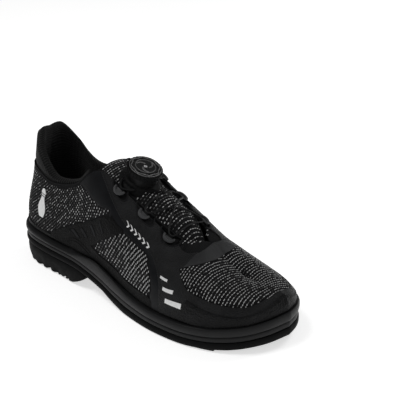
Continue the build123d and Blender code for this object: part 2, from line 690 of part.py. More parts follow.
lace_points += over_tongue(rear_medial, nose_exit[-1], low_lift, [0.5])
lace_points += [nose_exit[-1]]
save(cable(lace_points), "lace_cable")

stays = []
rear_angle, front_angle = STAY_ANGLES
for side in (1, -1):
    stay_points = [base_edge(-side * rear_angle), guide_point(0, side, -1), guide_point(0, side, 1),
                   base_edge(-side * front_angle)]
    stays.append(cable(stay_points))
save(Compound(children=stays), "stay_loops")
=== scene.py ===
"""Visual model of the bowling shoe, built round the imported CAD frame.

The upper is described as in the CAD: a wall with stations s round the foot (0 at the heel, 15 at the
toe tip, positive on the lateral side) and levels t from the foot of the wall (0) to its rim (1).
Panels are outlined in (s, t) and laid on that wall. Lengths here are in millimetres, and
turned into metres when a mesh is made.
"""
import math

import bmesh
import bpy
import numpy as np
from mathutils import Matrix, Vector
from mathutils.bvhtree import BVHTree
from mathutils.geometry import delaunay_2d_cdt


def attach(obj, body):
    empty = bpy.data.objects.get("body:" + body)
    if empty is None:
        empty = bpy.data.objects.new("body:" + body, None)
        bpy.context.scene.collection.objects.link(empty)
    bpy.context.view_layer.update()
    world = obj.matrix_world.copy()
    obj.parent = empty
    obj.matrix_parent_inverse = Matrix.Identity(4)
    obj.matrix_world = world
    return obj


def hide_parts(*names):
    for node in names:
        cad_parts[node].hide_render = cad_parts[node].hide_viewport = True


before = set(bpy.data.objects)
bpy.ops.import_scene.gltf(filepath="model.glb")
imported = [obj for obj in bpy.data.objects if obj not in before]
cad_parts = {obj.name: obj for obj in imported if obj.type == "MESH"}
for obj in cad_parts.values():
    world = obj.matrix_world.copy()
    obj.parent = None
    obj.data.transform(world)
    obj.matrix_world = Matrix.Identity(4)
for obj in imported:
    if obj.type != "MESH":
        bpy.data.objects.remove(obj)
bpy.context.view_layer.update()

MM = 0.001
SIDES = ((1, "lateral"), (-1, "medial"))
rng = np.random.default_rng(7)

# ---- the wall of the upper: foot x, foot y, rim x, rim y, rim z, lean at the rim, fullness ----
LATERAL = np.array([
    (-146, 0, -137, 0, 97, 4, .36), (-139.5, -19, -131.5, -16, 97, 5, .36),
    (-123.5, -31.5, -116.5, -26.5, 95.5, 7, .36), (-95, -36.5, -93, -31, 89.5, 10, .36),
    (-60, -38, -63, -30, 96, 14, .36), (-35.5, -40, -47, -28, 110.5, 24, .36),
    (-19.5, -42.5, -34, -24, 115, 34, .38), (1, -46, -17, -22.5, 105, 50, .40),
    (21, -50, 2, -22, 95, 56, .42), (41.5, -53.5, 24, -21.5, 82.5, 60, .44),
    (61, -54.5, 44, -18, 71, 66, .46), (84.5, -53, 62, 4.8, 65.5, 90, .48),
    (108.5, -46, 76, 4.5, 57.5, 90, .48), (127.5, -34, 88, 4.2, 51.5, 90, .48),
    (140, -18, 97, 4.1, 47, 90, .48), (146, 3, 103, 4, 45, 90, .48)])
MEDIAL = np.array([
    (-146, 0, -137, 0, 97, 4, .36), (-139.5, 19, -131.5, 16, 97, 5, .36),
    (-123.5, 31, -116.5, 26, 95.5, 7, .36), (-95, 34, -93, 28, 89.5, 10, .36),
    (-60, 31, -62, 25, 95, 14, .36), (-36, 31.5, -43, 24, 108, 24, .36),
    (-19.5, 34, -29, 23, 111, 34, .38), (1, 37, -12, 22.5, 101.5, 50, .38),
    (21, 42.5, 2, 22, 93, 56, .38), (41.5, 48, 24, 21.5, 81, 60, .32),
    (61, 51.5, 44, 19, 70, 66, .28), (84.5, 54, 62, 4.8, 65.5, 90, .24),
    (111, 46.5, 76, 4.5, 57.5, 90, .25), (130.5, 34.5, 88, 4.2, 51.5, 90, .27),
    (142, 18.5, 97, 4.1, 47, 90, .34), (146, 3, 103, 4, 45, 90, .48)])
TOP_LINE = np.array([(-150, 38), (-110, 37), (-60, 34.5), (-20, 27.5), (20, 21.5), (60, 19.5),
                     (100, 20.5), (130, 25), (150, 30)], float)
UNDER_LINE = np.array([(-150, 20.5), (-110, 20), (-60, 17.8), (-20, 10.2), (-4, 4.2), (12, 1.0),
                       (40, 0.6), (85, 0.8), (120, 3.3), (150, 8)], float)
WELT = 4.0
FOOT_LEAN, TAB_LEAN = 7.0, 13.0
KNIT = 1.6
COLLAR_PAD = 6.0
HEEL_TAB = np.array([[31], [30.5], [15.5], [5], [2.5], [2], [2]], float)
ALONG, UP = 18.0, 80.0        # millimetres to one station and to one whole level, on the unrolled wall


def smooth(rows, position):
    """Rows of numbers at fractional indices, on a curve through every row."""
    position = np.asarray(position, float)
    index = np.clip(np.floor(position).astype(int), 0, len(rows) - 2)
    part = (position - index)[..., None]
    a, b, c, d = (rows[np.clip(index + k, 0, len(rows) - 1)] for k in (-1, 0, 1, 2))
    return b + 0.5 * part * (c - a + part * (2 * a - 5 * b + 4 * c - d + part * (3 * (b - c) + d - a)))


def height_on(line, x):
    """Height at x on a smooth line through (x, height) rows."""
    x = np.clip(x, line[0, 0], line[-1, 0])
    index = np.clip(np.searchsorted(line[:, 0], x, side="right") - 1, 0, len(line) - 2)
    return smooth(line, index + (x - line[index, 0]) / (line[index + 1, 0] - line[index, 0]))[..., 1]


def station_rows(s):
    """Rows of the wall's table at stations that may run on past the toe or the heel."""
    s = np.where(s > 15, s - 30, s)
    s = np.where(s < -15, s + 30, s)
    return np.where((s >= 0)[..., None], smooth(LATERAL, np.abs(s)), smooth(MEDIAL, np.abs(s)))


def wall(s, t, off=0.0, rise=0.0):
    """Points of the wall, moved out by off. rise goes on straight above the rim."""
    s, t, off, rise = np.broadcast_arrays(*(np.asarray(v, float) for v in (s, t, off, rise)))
    foot_x, foot_y, rim_x, rim_y, rim_z, crown, full = np.moveaxis(station_rows(s), -1, 0)
    reach = np.hypot(foot_x - rim_x, foot_y - rim_y)
    out_x, out_y = (foot_x - rim_x) / reach, (foot_y - rim_y) / reach
    foot_z = height_on(TOP_LINE, foot_x) + 0.15
    handle = full * np.hypot(reach, rim_z - foot_z)
    lean, crown = math.radians(FOOT_LEAN), np.radians(np.minimum(crown, 90))
    corners = np.array([
        [reach, foot_z],
        [reach + handle * math.sin(lean), foot_z + handle * math.cos(lean)],
        [handle * np.sin(crown), rim_z - handle * np.cos(crown)],
        [0 * reach, rim_z]])
    u = 1 - t
    place = (np.array([u ** 3, 3 * u * u * t, 3 * u * t * t, t ** 3])[:, None] * corners).sum(0)
    slope = (np.array([3 * u * u, 6 * u * t, 3 * t * t])[:, None] * (corners[1:] - corners[:-1])).sum(0)
    turn = np.clip(1 - np.abs(s) / 2, 0, 1) * (rise > 0)
    tab = np.radians(TAB_LEAN) * turn + crown * (1 - turn)
    slope = np.where(rise > 0, np.array([-np.sin(tab), np.cos(tab)]), slope)
    slope = slope / np.hypot(slope[0], slope[1])
    x = place[0] + slope[0] * rise + slope[1] * off
    z = place[1] + slope[1] * rise - slope[0] * off
    return np.stack([rim_x + out_x * x, rim_y + out_y * x, z], -1)


def unrolled(places, side=1):
    """Places (s, t) as points of the unrolled wall, in millimetres."""
    return np.array(places, float) * (ALONG * side, UP)


def on_wall(uv, off):
    """The wall as a plane sheet in millimetres: the same points for u along it and v up it."""
    return wall(uv[..., 0] / ALONG, uv[..., 1] / UP, off)


# ---- meshes ----------------------------------------------------------------------------------
made = {}


def piece(name, solid, material, body="shoe", replaces=(), crease=None):
    """A mesh object that rides on a body, from points in millimetres, faces and perhaps flat places."""
    points, faces, *flat = solid
    mesh = bpy.data.meshes.new(name)
    mesh.from_pydata((np.asarray(points) * MM).tolist(), [], [list(map(int, f)) for f in faces])
    if flat:
        layer = mesh.uv_layers.new(name="UVMap")
        corner = np.zeros(len(mesh.loops), int)
        mesh.loops.foreach_get("vertex_index", corner)
        layer.data.foreach_set("uv", (np.asarray(flat[0])[corner] * MM).ravel())
    work = bmesh.new()
    work.from_mesh(mesh)
    bmesh.ops.remove_doubles(work, verts=work.verts, dist=1e-6)
    bmesh.ops.recalc_face_normals(work, faces=work.faces)
    work.to_mesh(mesh)
    work.free()
    mesh.polygons.foreach_set("use_smooth", [True] * len(mesh.polygons))
    if crease:
        mesh.set_sharp_from_angle(angle=math.radians(crease))
    for one in material if isinstance(material, (list, tuple)) else [material]:
        mesh.materials.append(one)
    thing = bpy.data.objects.new(name, mesh)
    bpy.context.scene.collection.objects.link(thing)
    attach(thing, body)
    if replaces:
        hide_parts(*replaces)
    made[name] = thing
    return thing


def ring_faces(rows, columns, closed_rows=False):
    """Faces between rings of points, one row for each ring."""
    faces = []
    for i in range(rows if closed_rows else rows - 1):
        for j in range(columns):
            a, b = i * columns + j, i * columns + (j + 1) % columns
            c, d = (i + 1) % rows * columns + (j + 1) % columns, (i + 1) % rows * columns + j
            faces.append((a, b, c, d))
    return faces


def loft(sections, closed=False):
    """Points and faces of a solid through closed sections, an array (sections, points, 3)."""
    count, around = sections.shape[:2]
    faces = ring_faces(count, around, closed)
    if not closed:
        faces += [tuple(range(around)), tuple(range((count - 1) * around, count * around))]
    return sections.reshape(-1, 3), faces


def join(parts):
    """One set of points and faces from several."""
    points, faces, start = [], [], 0
    for some, more, *_ in parts:
        points.append(np.asarray(some))
        faces += [tuple(index + start for index in face) for face in more]
        start += len(some)
    return np.concatenate(points), faces


def tube(path, radius, sides=10, flat=1.0, closed=False):
    """A round cord along a path of points; flat squashes it across its own normal."""
    path = np.asarray(path, float)
    ahead = np.roll(path, -1, 0) - np.roll(path, 1, 0)
    if not closed:
        ahead[0], ahead[-1] = path[1] - path[0], path[-1] - path[-2]
    ahead /= np.linalg.norm(ahead, axis=1)[:, None]
    side = np.cross(ahead[0], (0, 0, 1.0))
    sections = []
    for point, forward in zip(path, ahead):
        side = side - forward * side.dot(forward)
        side /= np.linalg.norm(side)
        over = np.cross(side, forward)
        turn = np.linspace(0, 2 * np.pi, sides, endpoint=False)[:, None]
        sections.append(point + radius * (np.cos(turn) * side + np.sin(turn) * over * flat))
    return loft(np.array(sections), closed)


def inside(points, outline):
    """Which points lie inside a closed outline."""
    x, y = points[:, 0][:, None], points[:, 1][:, None]
    x0, y0 = outline.T
    x1, y1 = np.roll(outline, -1, 0).T
    crosses = (y0 > y) != (y1 > y)
    at = x0 + (y - y0) * (x1 - x0) / np.where(y1 == y0, 1e-9, y1 - y0)
    return (crosses & (x < at)).sum(1) % 2 == 1


def inset(outline, distance):
    """A closed outline moved inwards."""
    ahead = np.roll(outline, -1, 0) - np.roll(outline, 1, 0)
    ahead /= np.linalg.norm(ahead, axis=1)[:, None] + 1e-9
    return outline + np.stack([-ahead[:, 1], ahead[:, 0]], -1) * distance


def spots_inside(border, low, high, cell, shift, gap):
    """Points of a square grid that lie inside a closed border, more than gap from it."""
    grid = np.meshgrid(np.arange(low[0], high[0], cell), np.arange(low[1], high[1], cell))
    spots = np.stack(grid, -1).reshape(-1, 2) + shift
    spots = spots[inside(spots, border)]
    if not len(spots):
        return spots
    near = np.sqrt(((spots[:, None] - border[None]) ** 2).sum(-1)).min(1)
    return spots[near > gap]


def fill(border, spots, first, added, flipped=False):
    """Triangles inside a closed border and through the spots in it: the points added, and the faces.

    Faces count the border's points from first, and the points added from added.
    """
    around = len(border)
    edges = [(k, (k + 1) % around) for k in range(around)]
    cloud = [Vector(point) for point in np.concatenate([border, spots])]
    flat, _, triangles, origins, _, _ = delaunay_2d_cdt(cloud, edges, [], 1, 1e-6, True)
    index, extra = {}, []
    for k, origin in enumerate(origins):
        if origin and origin[0] < around:
            index[k] = first + origin[0]
        else:
            index[k] = added + len(extra)
            extra.append(flat[k])
    flat = np.array(flat)
    middles = np.array([flat[list(face)].mean(0) for face in triangles])
    faces = [triangles[k] for k in np.flatnonzero(inside(middles, border))]
    faces = [tuple(index[k] for k in (face[::-1] if flipped else face)) for face in faces]
    return np.array(extra).reshape(-1, 2), faces


ROUNDS = 3                    # steps of a slab's rounded rim


def slab(outline, place, low, high, edge=0.4, under=0.0, cell=2.5, relief=None):
    """A flat panel with a rounded rim: outline in a plane, place(uv, height) puts it in space."""
    area = np.cross(outline, np.roll(outline, -1, 0)).sum()
    outline = outline if area > 0 else outline[::-1]
    rings = []
    for k in range(ROUNDS if under else 0):
        angle = k / ROUNDS * math.pi / 2
        rings.append((under * (1 - math.sin(angle)), low + under * (1 - math.cos(angle))))
    rings.append((0.0, low + under))
    for k in range(ROUNDS + 1):
        angle = k / ROUNDS * math.pi / 2
        rings.append((edge * (1 - math.cos(angle)), high - edge * (1 - math.sin(angle))))
    around = len(outline)
    uv, heights = [], []
    for distance, height in rings:
        uv.append(inset(outline, distance))
        heights.append(np.full(around, height))
    faces = ring_faces(len(rings), around)
    spots = spots_inside(outline, outline.min(0), outline.max(0), cell, cell / 3, edge + cell * 0.45)
    for ring, height, first in ((len(rings) - 1, high, False), (0, low, True)):
        extra, found = fill(uv[ring], spots, ring * around, sum(map(len, uv)), flipped=first)
        faces += found
        if len(extra):
            uv.append(extra)
            heights.append(np.full(len(extra), height))
    uv, heights = np.concatenate(uv), np.concatenate(heights)
    if relief is not None:
        heights = heights + relief(uv) * (heights > (low + high) / 2)
    return place(uv, heights), faces, uv


def curve(points, step=1.0):
    """Points every step or so along a smooth run through a few given points."""
    points = np.asarray(points, float)
    spans = np.linalg.norm(np.diff(points, axis=0), axis=1)
    positions = [0.0]
    for index, span in enumerate(spans):
        pieces = max(1, round(span / step))
        positions += [index + (k + 1) / pieces for k in range(pieces)]
    return smooth(points, np.array(positions)) if len(points) > 2 else \
        points[0] + np.array(positions)[:, None] * (points[1] - points[0])


def outlined(*runs, side=1, step=1.0):
    """A closed outline on the unrolled wall from runs of (s, t): smooth in a run, a corner between."""
    parts = []
    for index, run in enumerate(runs):
        closing = [runs[(index + 1) % len(runs)][0]] if run[-1] != runs[(index + 1) % len(runs)][0] else []
        parts.append(curve(unrolled(list(run) + closing, side), step)[:-1])
    return np.concatenate(parts)


def overlay(name, outline, material, replaces, low, high=1.15, edge=0.45, cell=2.5, relief=None):
    """A panel of the upper, laid on the wall."""
    solid = slab(outline, on_wall, low, high, edge, cell=cell, relief=relief)
    return piece(name, solid, material, replaces=replaces)


BEAD_FACES = 24
BEAD_RINGS = ((-.62, .8), (0, 1), (.62, .8))      # how far along its half length, and how thick


def capsules(centres, ahead, up, length, width, height):
    """Small elongated beads: centre, direction and normal of each in millimetres."""
    ring = np.linspace(0, 2 * np.pi, 6, endpoint=False)
    template = [(-1.0, 0, 0)]
    template += [(x, r * math.cos(a), r * math.sin(a)) for x, r in BEAD_RINGS for a in ring]
    template.append((1.0, 0, 0))
    template = np.array(template)
    faces = [(0, 1 + (k + 1) % 6, 1 + k) for k in range(6)]
    for low in (1, 7):
        faces += [(low + k, low + (k + 1) % 6, low + 6 + (k + 1) % 6, low + 6 + k) for k in range(6)]
    faces += [(19, 13 + k, 13 + (k + 1) % 6) for k in range(6)]
    ahead = ahead / np.linalg.norm(ahead, axis=1)[:, None]
    up = up - ahead * (up * ahead).sum(1)[:, None]
    up = up / np.linalg.norm(up, axis=1)[:, None]
    across = np.cross(up, ahead)
    sizes = (np.broadcast_to(size, len(centres))[:, None, None] / 2 for size in (length, width, height))
    points = centres[:, None]
    for column, axis, size in zip(template.T, (ahead, across, up), sizes):
        points = points + column[None, :, None] * axis[:, None] * size
    count = len(template)
    all_faces = []
    for index in range(len(centres)):
        all_faces += [tuple(k + index * count for k in face) for face in faces]
    return points.reshape(-1, 3), all_faces


def wall_frames(s, t, off):
    """Points on the wall with their directions along it, up it and out of it."""
    point = wall(s, t, off)
    along = wall(s + 0.02, t, off) - wall(s - 0.02, t, off)
    up = wall(s, np.minimum(t, 1), off) - wall(s, np.maximum(t - 0.02, 0), off)
    out = wall(s, t, off + 1) - point
    return point, along, up, out


STITCH_PITCH, STITCH_LENGTH, STITCH_WIDTH, STITCH_HEIGHT = 2.4, 1.6, 0.55, 0.45


def stitches(path, off):
    """Thread along a path on the unrolled wall, one bead for each stitch."""
    path = np.asarray(path, float)
    spans = np.linalg.norm(np.diff(on_wall(path, off), axis=0), axis=1)
    run = np.concatenate([[0], np.cumsum(spans)])
    marks = np.arange(STITCH_PITCH / 2, run[-1], STITCH_PITCH)
    flat = np.stack([np.interp(marks, run, path[:, k]) for k in (0, 1)], -1)
    next_flat = np.stack([np.interp(marks + 0.5, run, path[:, k]) for k in (0, 1)], -1)
    centre = on_wall(flat, off)
    ahead = on_wall(next_flat, off) - centre
    keep = np.linalg.norm(ahead, axis=1) > 0.05
    out = on_wall(flat, off + 1) - centre
    return capsules(centre[keep], ahead[keep], out[keep], STITCH_LENGTH, STITCH_WIDTH, STITCH_HEIGHT)


# ---- materials -------------------------------------------------------------------------------
class Graph:
    """A few words for building a material's nodes."""

    def __init__(self, name, rough, **shader):
        self.material = bpy.data.materials.new(name)
        self.material.use_nodes = True
        self.tree = self.material.node_tree
        self.shader = self.tree.nodes["Principled BSDF"]
        self.shader.inputs["Roughness"].default_value = rough
        self.shader.inputs["Specular IOR Level"].default_value = 0.14
        for key, value in shader.items():
            self.shader.inputs[key.replace("_", " ")].default_value = value
        self.place = self.node("ShaderNodeTexCoord").outputs["Object"]
        self.unrolled = self.node("ShaderNodeUVMap").outputs["UV"]
        self.bump = None

    def node(self, kind, **settings):
        node = self.tree.nodes.new(kind)
        for key, value in settings.items():
            setattr(node, key, value)
        return node

    def link(self, source, target):
        self.tree.links.new(source, target)

    def noise(self, scale, detail):
        node = self.node("ShaderNodeTexNoise")
        node.inputs["Scale"].default_value = scale
        node.inputs["Detail"].default_value = detail
        self.link(self.place, node.inputs["Vector"])
        return node.outputs["Fac"]

    def cells(self, scale):
        node = self.node("ShaderNodeTexVoronoi")
        node.inputs["Scale"].default_value = scale
        self.link(self.place, node.inputs["Vector"])
        return node.outputs["Distance"]

    def bands(self, scale, direction, distort, place=None):
        node = self.node("ShaderNodeTexWave", bands_direction=direction)
        node.inputs["Scale"].default_value = scale
        node.inputs["Distortion"].default_value = distort
        self.link(place or self.place, node.inputs["Vector"])
        return node.outputs["Fac"]

    def times(self, a, b):
        node = self.node("ShaderNodeMath", operation="MULTIPLY")
        self.link(a, node.inputs[0])
        self.link(b, node.inputs[1])
        return node.outputs[0]

    def color(self, value, low, high, start=0.3, end=0.7):
        node = self.node("ShaderNodeValToRGB")
        node.color_ramp.elements[0].position, node.color_ramp.elements[1].position = start, end
        node.color_ramp.elements[0].color = (*low, 1)
        node.color_ramp.elements[1].color = (*high, 1)
        self.link(value, node.inputs["Fac"])
        self.link(node.outputs["Color"], self.shader.inputs["Base Color"])

    def rough(self, value, low, high):
        node = self.node("ShaderNodeMapRange")
        node.inputs["To Min"].default_value = low
        node.inputs["To Max"].default_value = high
        self.link(value, node.inputs["Value"])
        self.link(node.outputs[0], self.shader.inputs["Roughness"])

    def raise_by(self, value, height):
        node = self.node("ShaderNodeBump")
        node.inputs["Distance"].default_value = height * MM
        node.inputs["Strength"].default_value = 1.0
        self.link(value, node.inputs["Height"])
        if self.bump:
            self.link(self.bump, node.inputs["Normal"])
        self.bump = node.outputs["Normal"]
        self.link(self.bump, self.shader.inputs["Normal"])


def grey(value, tint=0.0):
    """A grey, a little bluer for a higher tint."""
    return (value, value * (1 + tint * 0.3), value * (1 + tint))


RUBBER_TINT = 0.06


def leather(name, shade, rough, cell, depth, tint=0.05):
    """Synthetic leather: pebbled grain, faint blotches and a little uneven gloss."""
    graph = Graph(name, rough, Specular_IOR_Level=0.07)
    blotch = graph.noise(45, 4)
    graph.color(blotch, grey(shade * 0.65, tint), grey(shade * 1.35, tint))
    graph.rough(graph.noise(160, 3), rough - 0.09, rough + 0.09)
    graph.raise_by(graph.cells(cell), depth)
    graph.raise_by(graph.noise(2600, 2), depth * 0.3)
    return graph.material


def rubber(name, shade, rough, depth=0.12, **shader):
    """Moulded rubber: fine matte texture, slight mottling, uneven gloss."""
    graph = Graph(name, rough, **shader)
    graph.color(graph.noise(30, 5), grey(shade * 0.75, RUBBER_TINT), grey(shade * 1.25, RUBBER_TINT))
    graph.rough(graph.noise(110, 4), rough - 0.1, rough + 0.12)
    graph.raise_by(graph.noise(1500, 3), depth)
    return graph.material


def woven(name, shade, rough, pitch=1.1, depth=0.35, tint=0.1, sheen=0.0):
    """Knitted or woven cloth on the unrolled surface: two crossing sets of yarns, with painted shade between
    them.
    """
    graph = Graph(name, rough, Sheen_Weight=sheen, Sheen_Roughness=0.5, Specular_IOR_Level=0.15)
    per_metre = 0.32 / (pitch * MM)
    weave = graph.times(*(graph.bands(per_metre, line, 0.4, graph.unrolled) for line in "XY"))
    # colour from the weave's own relief times random mottling: painted shade in the gaps between the yarns
    # and painted highlight on their raised crossings
    weave_shade_and_mottle = graph.times(weave, graph.noise(220, 3))
    graph.color(weave_shade_and_mottle, grey(shade * 0.45, tint), grey(shade * 1.9, tint), 0.1, 0.55)
    graph.raise_by(weave, depth)
    graph.raise_by(graph.noise(3000, 2), 0.08)
    return graph.material


def moulded(name, shade, rough, tint=0.04, **shader):
    """Moulded plastic: almost even, with fine spark-eroded texture and handling marks."""
    graph = Graph(name, rough, **shader)
    graph.color(graph.noise(60, 3), grey(shade * 0.85, tint), grey(shade * 1.15, tint))
    graph.rough(graph.noise(240, 4), rough - 0.07, rough + 0.1)
    graph.raise_by(graph.noise(2200, 2), 0.05)
    return graph.material


def metal(name, shade, rough, direction="X"):
    """Brushed metal: fine lines across one direction."""
    graph = Graph(name, rough, Metallic=1.0)
    graph.color(graph.noise(90, 3), grey(shade * 0.85), grey(shade))
    graph.rough(graph.bands(2400, direction, 3.0), rough - 0.08, rough + 0.12)
    graph.raise_by(graph.bands(3200, direction, 2.0), 0.02)
    return graph.material


def film(name, shade):
    """A smooth printed film or a bright yarn."""
    graph = Graph(name, 0.45)
    graph.color(graph.noise(500, 3), grey(shade * 0.9), grey(shade))
    graph.raise_by(graph.noise(1400, 3), 0.04)
    return graph.material


knit_cloth = woven("knit_cloth", 0.008, 0.85)
silver_yarn = film("silver_yarn", 0.50)
dim_yarn = film("dim_yarn", 0.09)
collar_cloth = woven("collar_cloth", 0.005, 0.9, pitch=1.6, depth=0.5, tint=0.0, sheen=0.08)
lining_cloth = woven("lining_cloth", 0.010, 0.92, pitch=1.3, depth=0.3)
eyestay_leather = leather("eyestay_leather", 0.015, 0.44, cell=800, depth=0.5)
bridge_leather = leather("bridge_leather", 0.030, 0.46, cell=1400, depth=0.12)
strap_leather = leather("strap_leather", 0.003, 0.55, cell=700, depth=0.4)
smooth_leather = leather("smooth_leather", 0.009, 0.42, cell=1800, depth=0.06, tint=0.18)
guard_leather = leather("guard_leather", 0.009, 0.42, cell=600, depth=0.6)
sole_rubber = rubber("sole_rubber", 0.010, 0.44)
tread_rubber = rubber("tread_rubber", 0.005, 0.62, depth=0.2, Specular_IOR_Level=0.05)
shank_plastic = moulded("shank_plastic", 0.020, 0.36)
badge_metal = metal("badge_metal", 0.62, 0.30)
board_card = leather("board_card", 0.30, 0.8, cell=1500, depth=0.1)
thread = woven("thread", 0.018, 0.8, pitch=0.5, depth=0.1)
white_film = film("white_film", 0.80)
piping_cloth = woven("piping_cloth", 0.014, 0.8, pitch=0.8, depth=0.15)
dial_plastic = moulded("dial_plastic", 0.006, 0.34, Coat_Weight=0.08, Coat_Roughness=0.3)
dial_gloss = moulded("dial_gloss", 0.006, 0.26, Coat_Weight=0.12, Coat_Roughness=0.2)
dial_rim = metal("dial_rim", 0.16, 0.34)
dial_soft = rubber("dial_soft", 0.006, 0.5, depth=0.06, Specular_IOR_Level=0.06)
steel = metal("steel", 0.6, 0.28, "Z")
lace_black = moulded("lace_black", 0.010, 0.40)
guide_plastic = moulded("guide_plastic", 0.050, 0.34, tint=0.05)

# ---- knitted shell ---------------------------------------------------------------------------
SHELL_SEAM = 10.35            # where the vamp's knit meets the quarters, under the forepart overlay


def shell(start, end):
    """A stretch of the knitted wall with its thickness, closed all round."""
    stations = np.linspace(start, end, max(3, int(abs(end - start) * 8)))
    levels = np.linspace(0, 1.0, 36)
    s, t = np.meshgrid(stations, levels, indexing="ij")
    outer, inner = wall(s, t, 0), wall(s, t, -KNIT)
    sections = np.concatenate([outer, inner[:, ::-1]], 1)
    uv = np.stack([s * ALONG, t * UP], -1)
    uv = np.concatenate([uv, uv[:, ::-1]], 1).reshape(-1, 2)
    return *loft(sections), uv


for side, name in SIDES:
    piece(f"quarter_knit_{name}", shell(side * 0.006, side * (SHELL_SEAM - 0.01)),
          knit_cloth, replaces=[f"quarter_{name}"])
vamp = piece("vamp_knit", shell(SHELL_SEAM, 30 - SHELL_SEAM), knit_cloth, replaces=["vamp"])

# windows of the overlays where the knit and its bright yarn floats show
REAR_WINDOW = [(0.0, .07), (2.2, .07), (2.9, .05), (3.25, .17), (3.68, .34), (4.1, .44), (4.7, .49),
               (5.5, .535), (6.35, .615), (6.55, .70), (5.85, .67), (5.25, .72), (4.85, .81), (4.4, .94),
               (4.2, .985), (3.4, .955), (2.9, .98), (2.0, .985), (0.0, .985)]
MID_WINDOW = [(4.95, .21), (6.25, .38), (7.4, .59), (8.1, .60), (8.9, .59), (9.05, .50), (9.2, .38),
              (9.28, .24), (9.15, .13), (7.9, .12), (6.5, .15), (5.6, .155)]
TOE_EDGE = [(10.45, .59), (10.62, .47), (10.9, .345), (11.25, .30), (11.7, .28), (12.2, .255), (12.65, .24),
            (13.2, .24), (13.7, .275), (14.15, .335), (14.55, .38), (15.0, .425)]
BRIDGE_EDGE = [(10.45, .60), (11.0, .645), (11.35, .72), (11.7, .83), (12.0, .985)]
rear, mid = unrolled(REAR_WINDOW), unrolled(MID_WINDOW)
PITCH, ROW = 3.5, 2.5         # from one float to the next along the wall, and from row to row up it


def side_floats(side):
    """Floats of bright yarn on the quarters: dots at the heel, longer and brighter dashes to the front."""
    flat = []
    marks = np.linspace(0, SHELL_SEAM, 300)
    spans = np.linalg.norm(np.diff(wall(marks * side, 0.5), axis=0), axis=1)
    run = np.concatenate([[0], np.cumsum(spans)])
    for row in range(int(UP / ROW)):
        across = np.arange(0.6, run[-1], PITCH) + (row % 2) * PITCH / 2
        across = np.interp(across, run, marks) * ALONG
        flat.append(np.stack([across, np.full(len(across), (row + 0.5) * ROW)], -1))
    flat = np.concatenate(flat)
    margin = 0.8
    keep = inside(flat + (0, margin), rear) & inside(flat - (0, margin), rear)
    keep |= inside(flat + (margin, 0), mid) & inside(flat - (margin, 0), mid)
    flat = flat[keep] + rng.normal(0, 0.12, (keep.sum(), 2))
    s, t = flat[:, 0] / ALONG * side, flat[:, 1] / UP
    point, along, up, out = wall_frames(s, t, 0.12)
    forward = np.clip((np.abs(s) - 3) / 5, 0, 1)
    length = (1.4 + 0.9 * forward) * rng.uniform(0.75, 1.2, len(s))
    ahead = up / np.linalg.norm(up, axis=1)[:, None] + 0.25 * along / np.linalg.norm(along, axis=1)[:, None]
    return capsules(point, ahead, out, length, 0.9, 0.7), forward


def yarn_beads(name, beads, share):
    """Beads of dim and bright yarn mixed at random, where share of them are bright."""
    yarn = piece(name, beads, [dim_yarn, silver_yarn])
    bright = rng.random(len(beads[1]) // BEAD_FACES) < share
    yarn.data.polygons.foreach_set("material_index", np.repeat(bright.astype(np.int32), BEAD_FACES))


for side, name in SIDES:
    beads, forward = side_floats(side)
    yarn_beads(f"knit_floats_{name}", beads, 0.25 + 0.65 * forward)


def surface_of(*things):
    """A tree of the faces of some pieces, for points to be dropped on."""
    verts, polys = [], []
    for thing in things:
        start = len(verts)
        verts += [v.co for v in thing.data.vertices]
        polys += [[i + start for i in p.vertices] for p in thing.data.polygons]
    return BVHTree.FromPolygons(verts, polys)


# the toe's floats run across the foot in rows: found by dropping points on the vamp
tree = surface_of(vamp)
toe_half = curve(unrolled(TOE_EDGE), 2.0) / (ALONG, UP)
bridge_half = curve(unrolled(BRIDGE_EDGE), 2.0) / (ALONG, UP)
toe_loop = np.concatenate([
    wall(toe_half[:, 0], toe_half[:, 1])[:, :2],
    wall(-toe_half[::-1, 0], toe_half[::-1, 1])[:, :2],
    wall(-bridge_half[:, 0], bridge_half[:, 1])[:, :2],
    wall(bridge_half[::-1, 0], bridge_half[::-1, 1])[:, :2]])
TOE_ROW, TOE_DASH = 2.7, 3.0
FLOAT_LIFT = 0.12             # from the knit to the middle of a float


def dropped(x, y, surface):
    """Where a vertical line first meets a surface from above, and the surface's normal there."""
    hit, normal, _, _ = surface.ray_cast(Vector((x, y, 150)) * MM, Vector((0, 0, -1)))
    return (np.array(hit) / MM, np.array(normal)) if hit else (None, None)


def lying_across(places, length, width, height):
    """Beads that lie across the foot at (point, normal) places on a surface."""
    points, normals = (np.array(column) for column in zip(*places))
    return capsules(points, np.cross((1.0, 0, 0), normals), normals, length, width, height)


places = []
for row, x in enumerate(np.arange(58, 150, TOE_ROW)):
    y = -60 + (row % 2) * TOE_DASH / 2
    while y < 60:
        spot = np.array([[x + rng.normal(0, 0.12), y + rng.normal(0, 0.15)]])
        hit, normal = dropped(*spot[0], tree)
        slope = abs(normal[2]) if hit is not None else 1.0
        y += TOE_DASH * max(slope, 0.35)
        if hit is None or not inside(spot, toe_loop)[0]:
            continue
        places.append((hit + normal * FLOAT_LIFT, normal))
yarn_beads("knit_floats_toe", lying_across(places, rng.uniform(1.7, 2.7, len(places)), 0.8, 0.6), 0.85)

# ---- overlays --------------------------------------------------------------------------------
GUIDES = (7.1, 8.5, 9.75)
NOTCH_R, NOTCH_LEVEL, RIM_LEVEL = 8.6, .985, .99


def rim_with_notches(start, end):
    """The eyestay's upper edge: a half-round notch round each lace guide."""
    points = [(start, RIM_LEVEL)]
    dip = math.asin((RIM_LEVEL - NOTCH_LEVEL) * UP / NOTCH_R)
    for station in GUIDES:
        for angle in np.linspace(math.pi - dip, 2 * math.pi + dip, 15):
            points.append((station + NOTCH_R * math.cos(angle) / ALONG,
                           NOTCH_LEVEL + NOTCH_R * math.sin(angle) / UP))
    return points + [(end, RIM_LEVEL)]


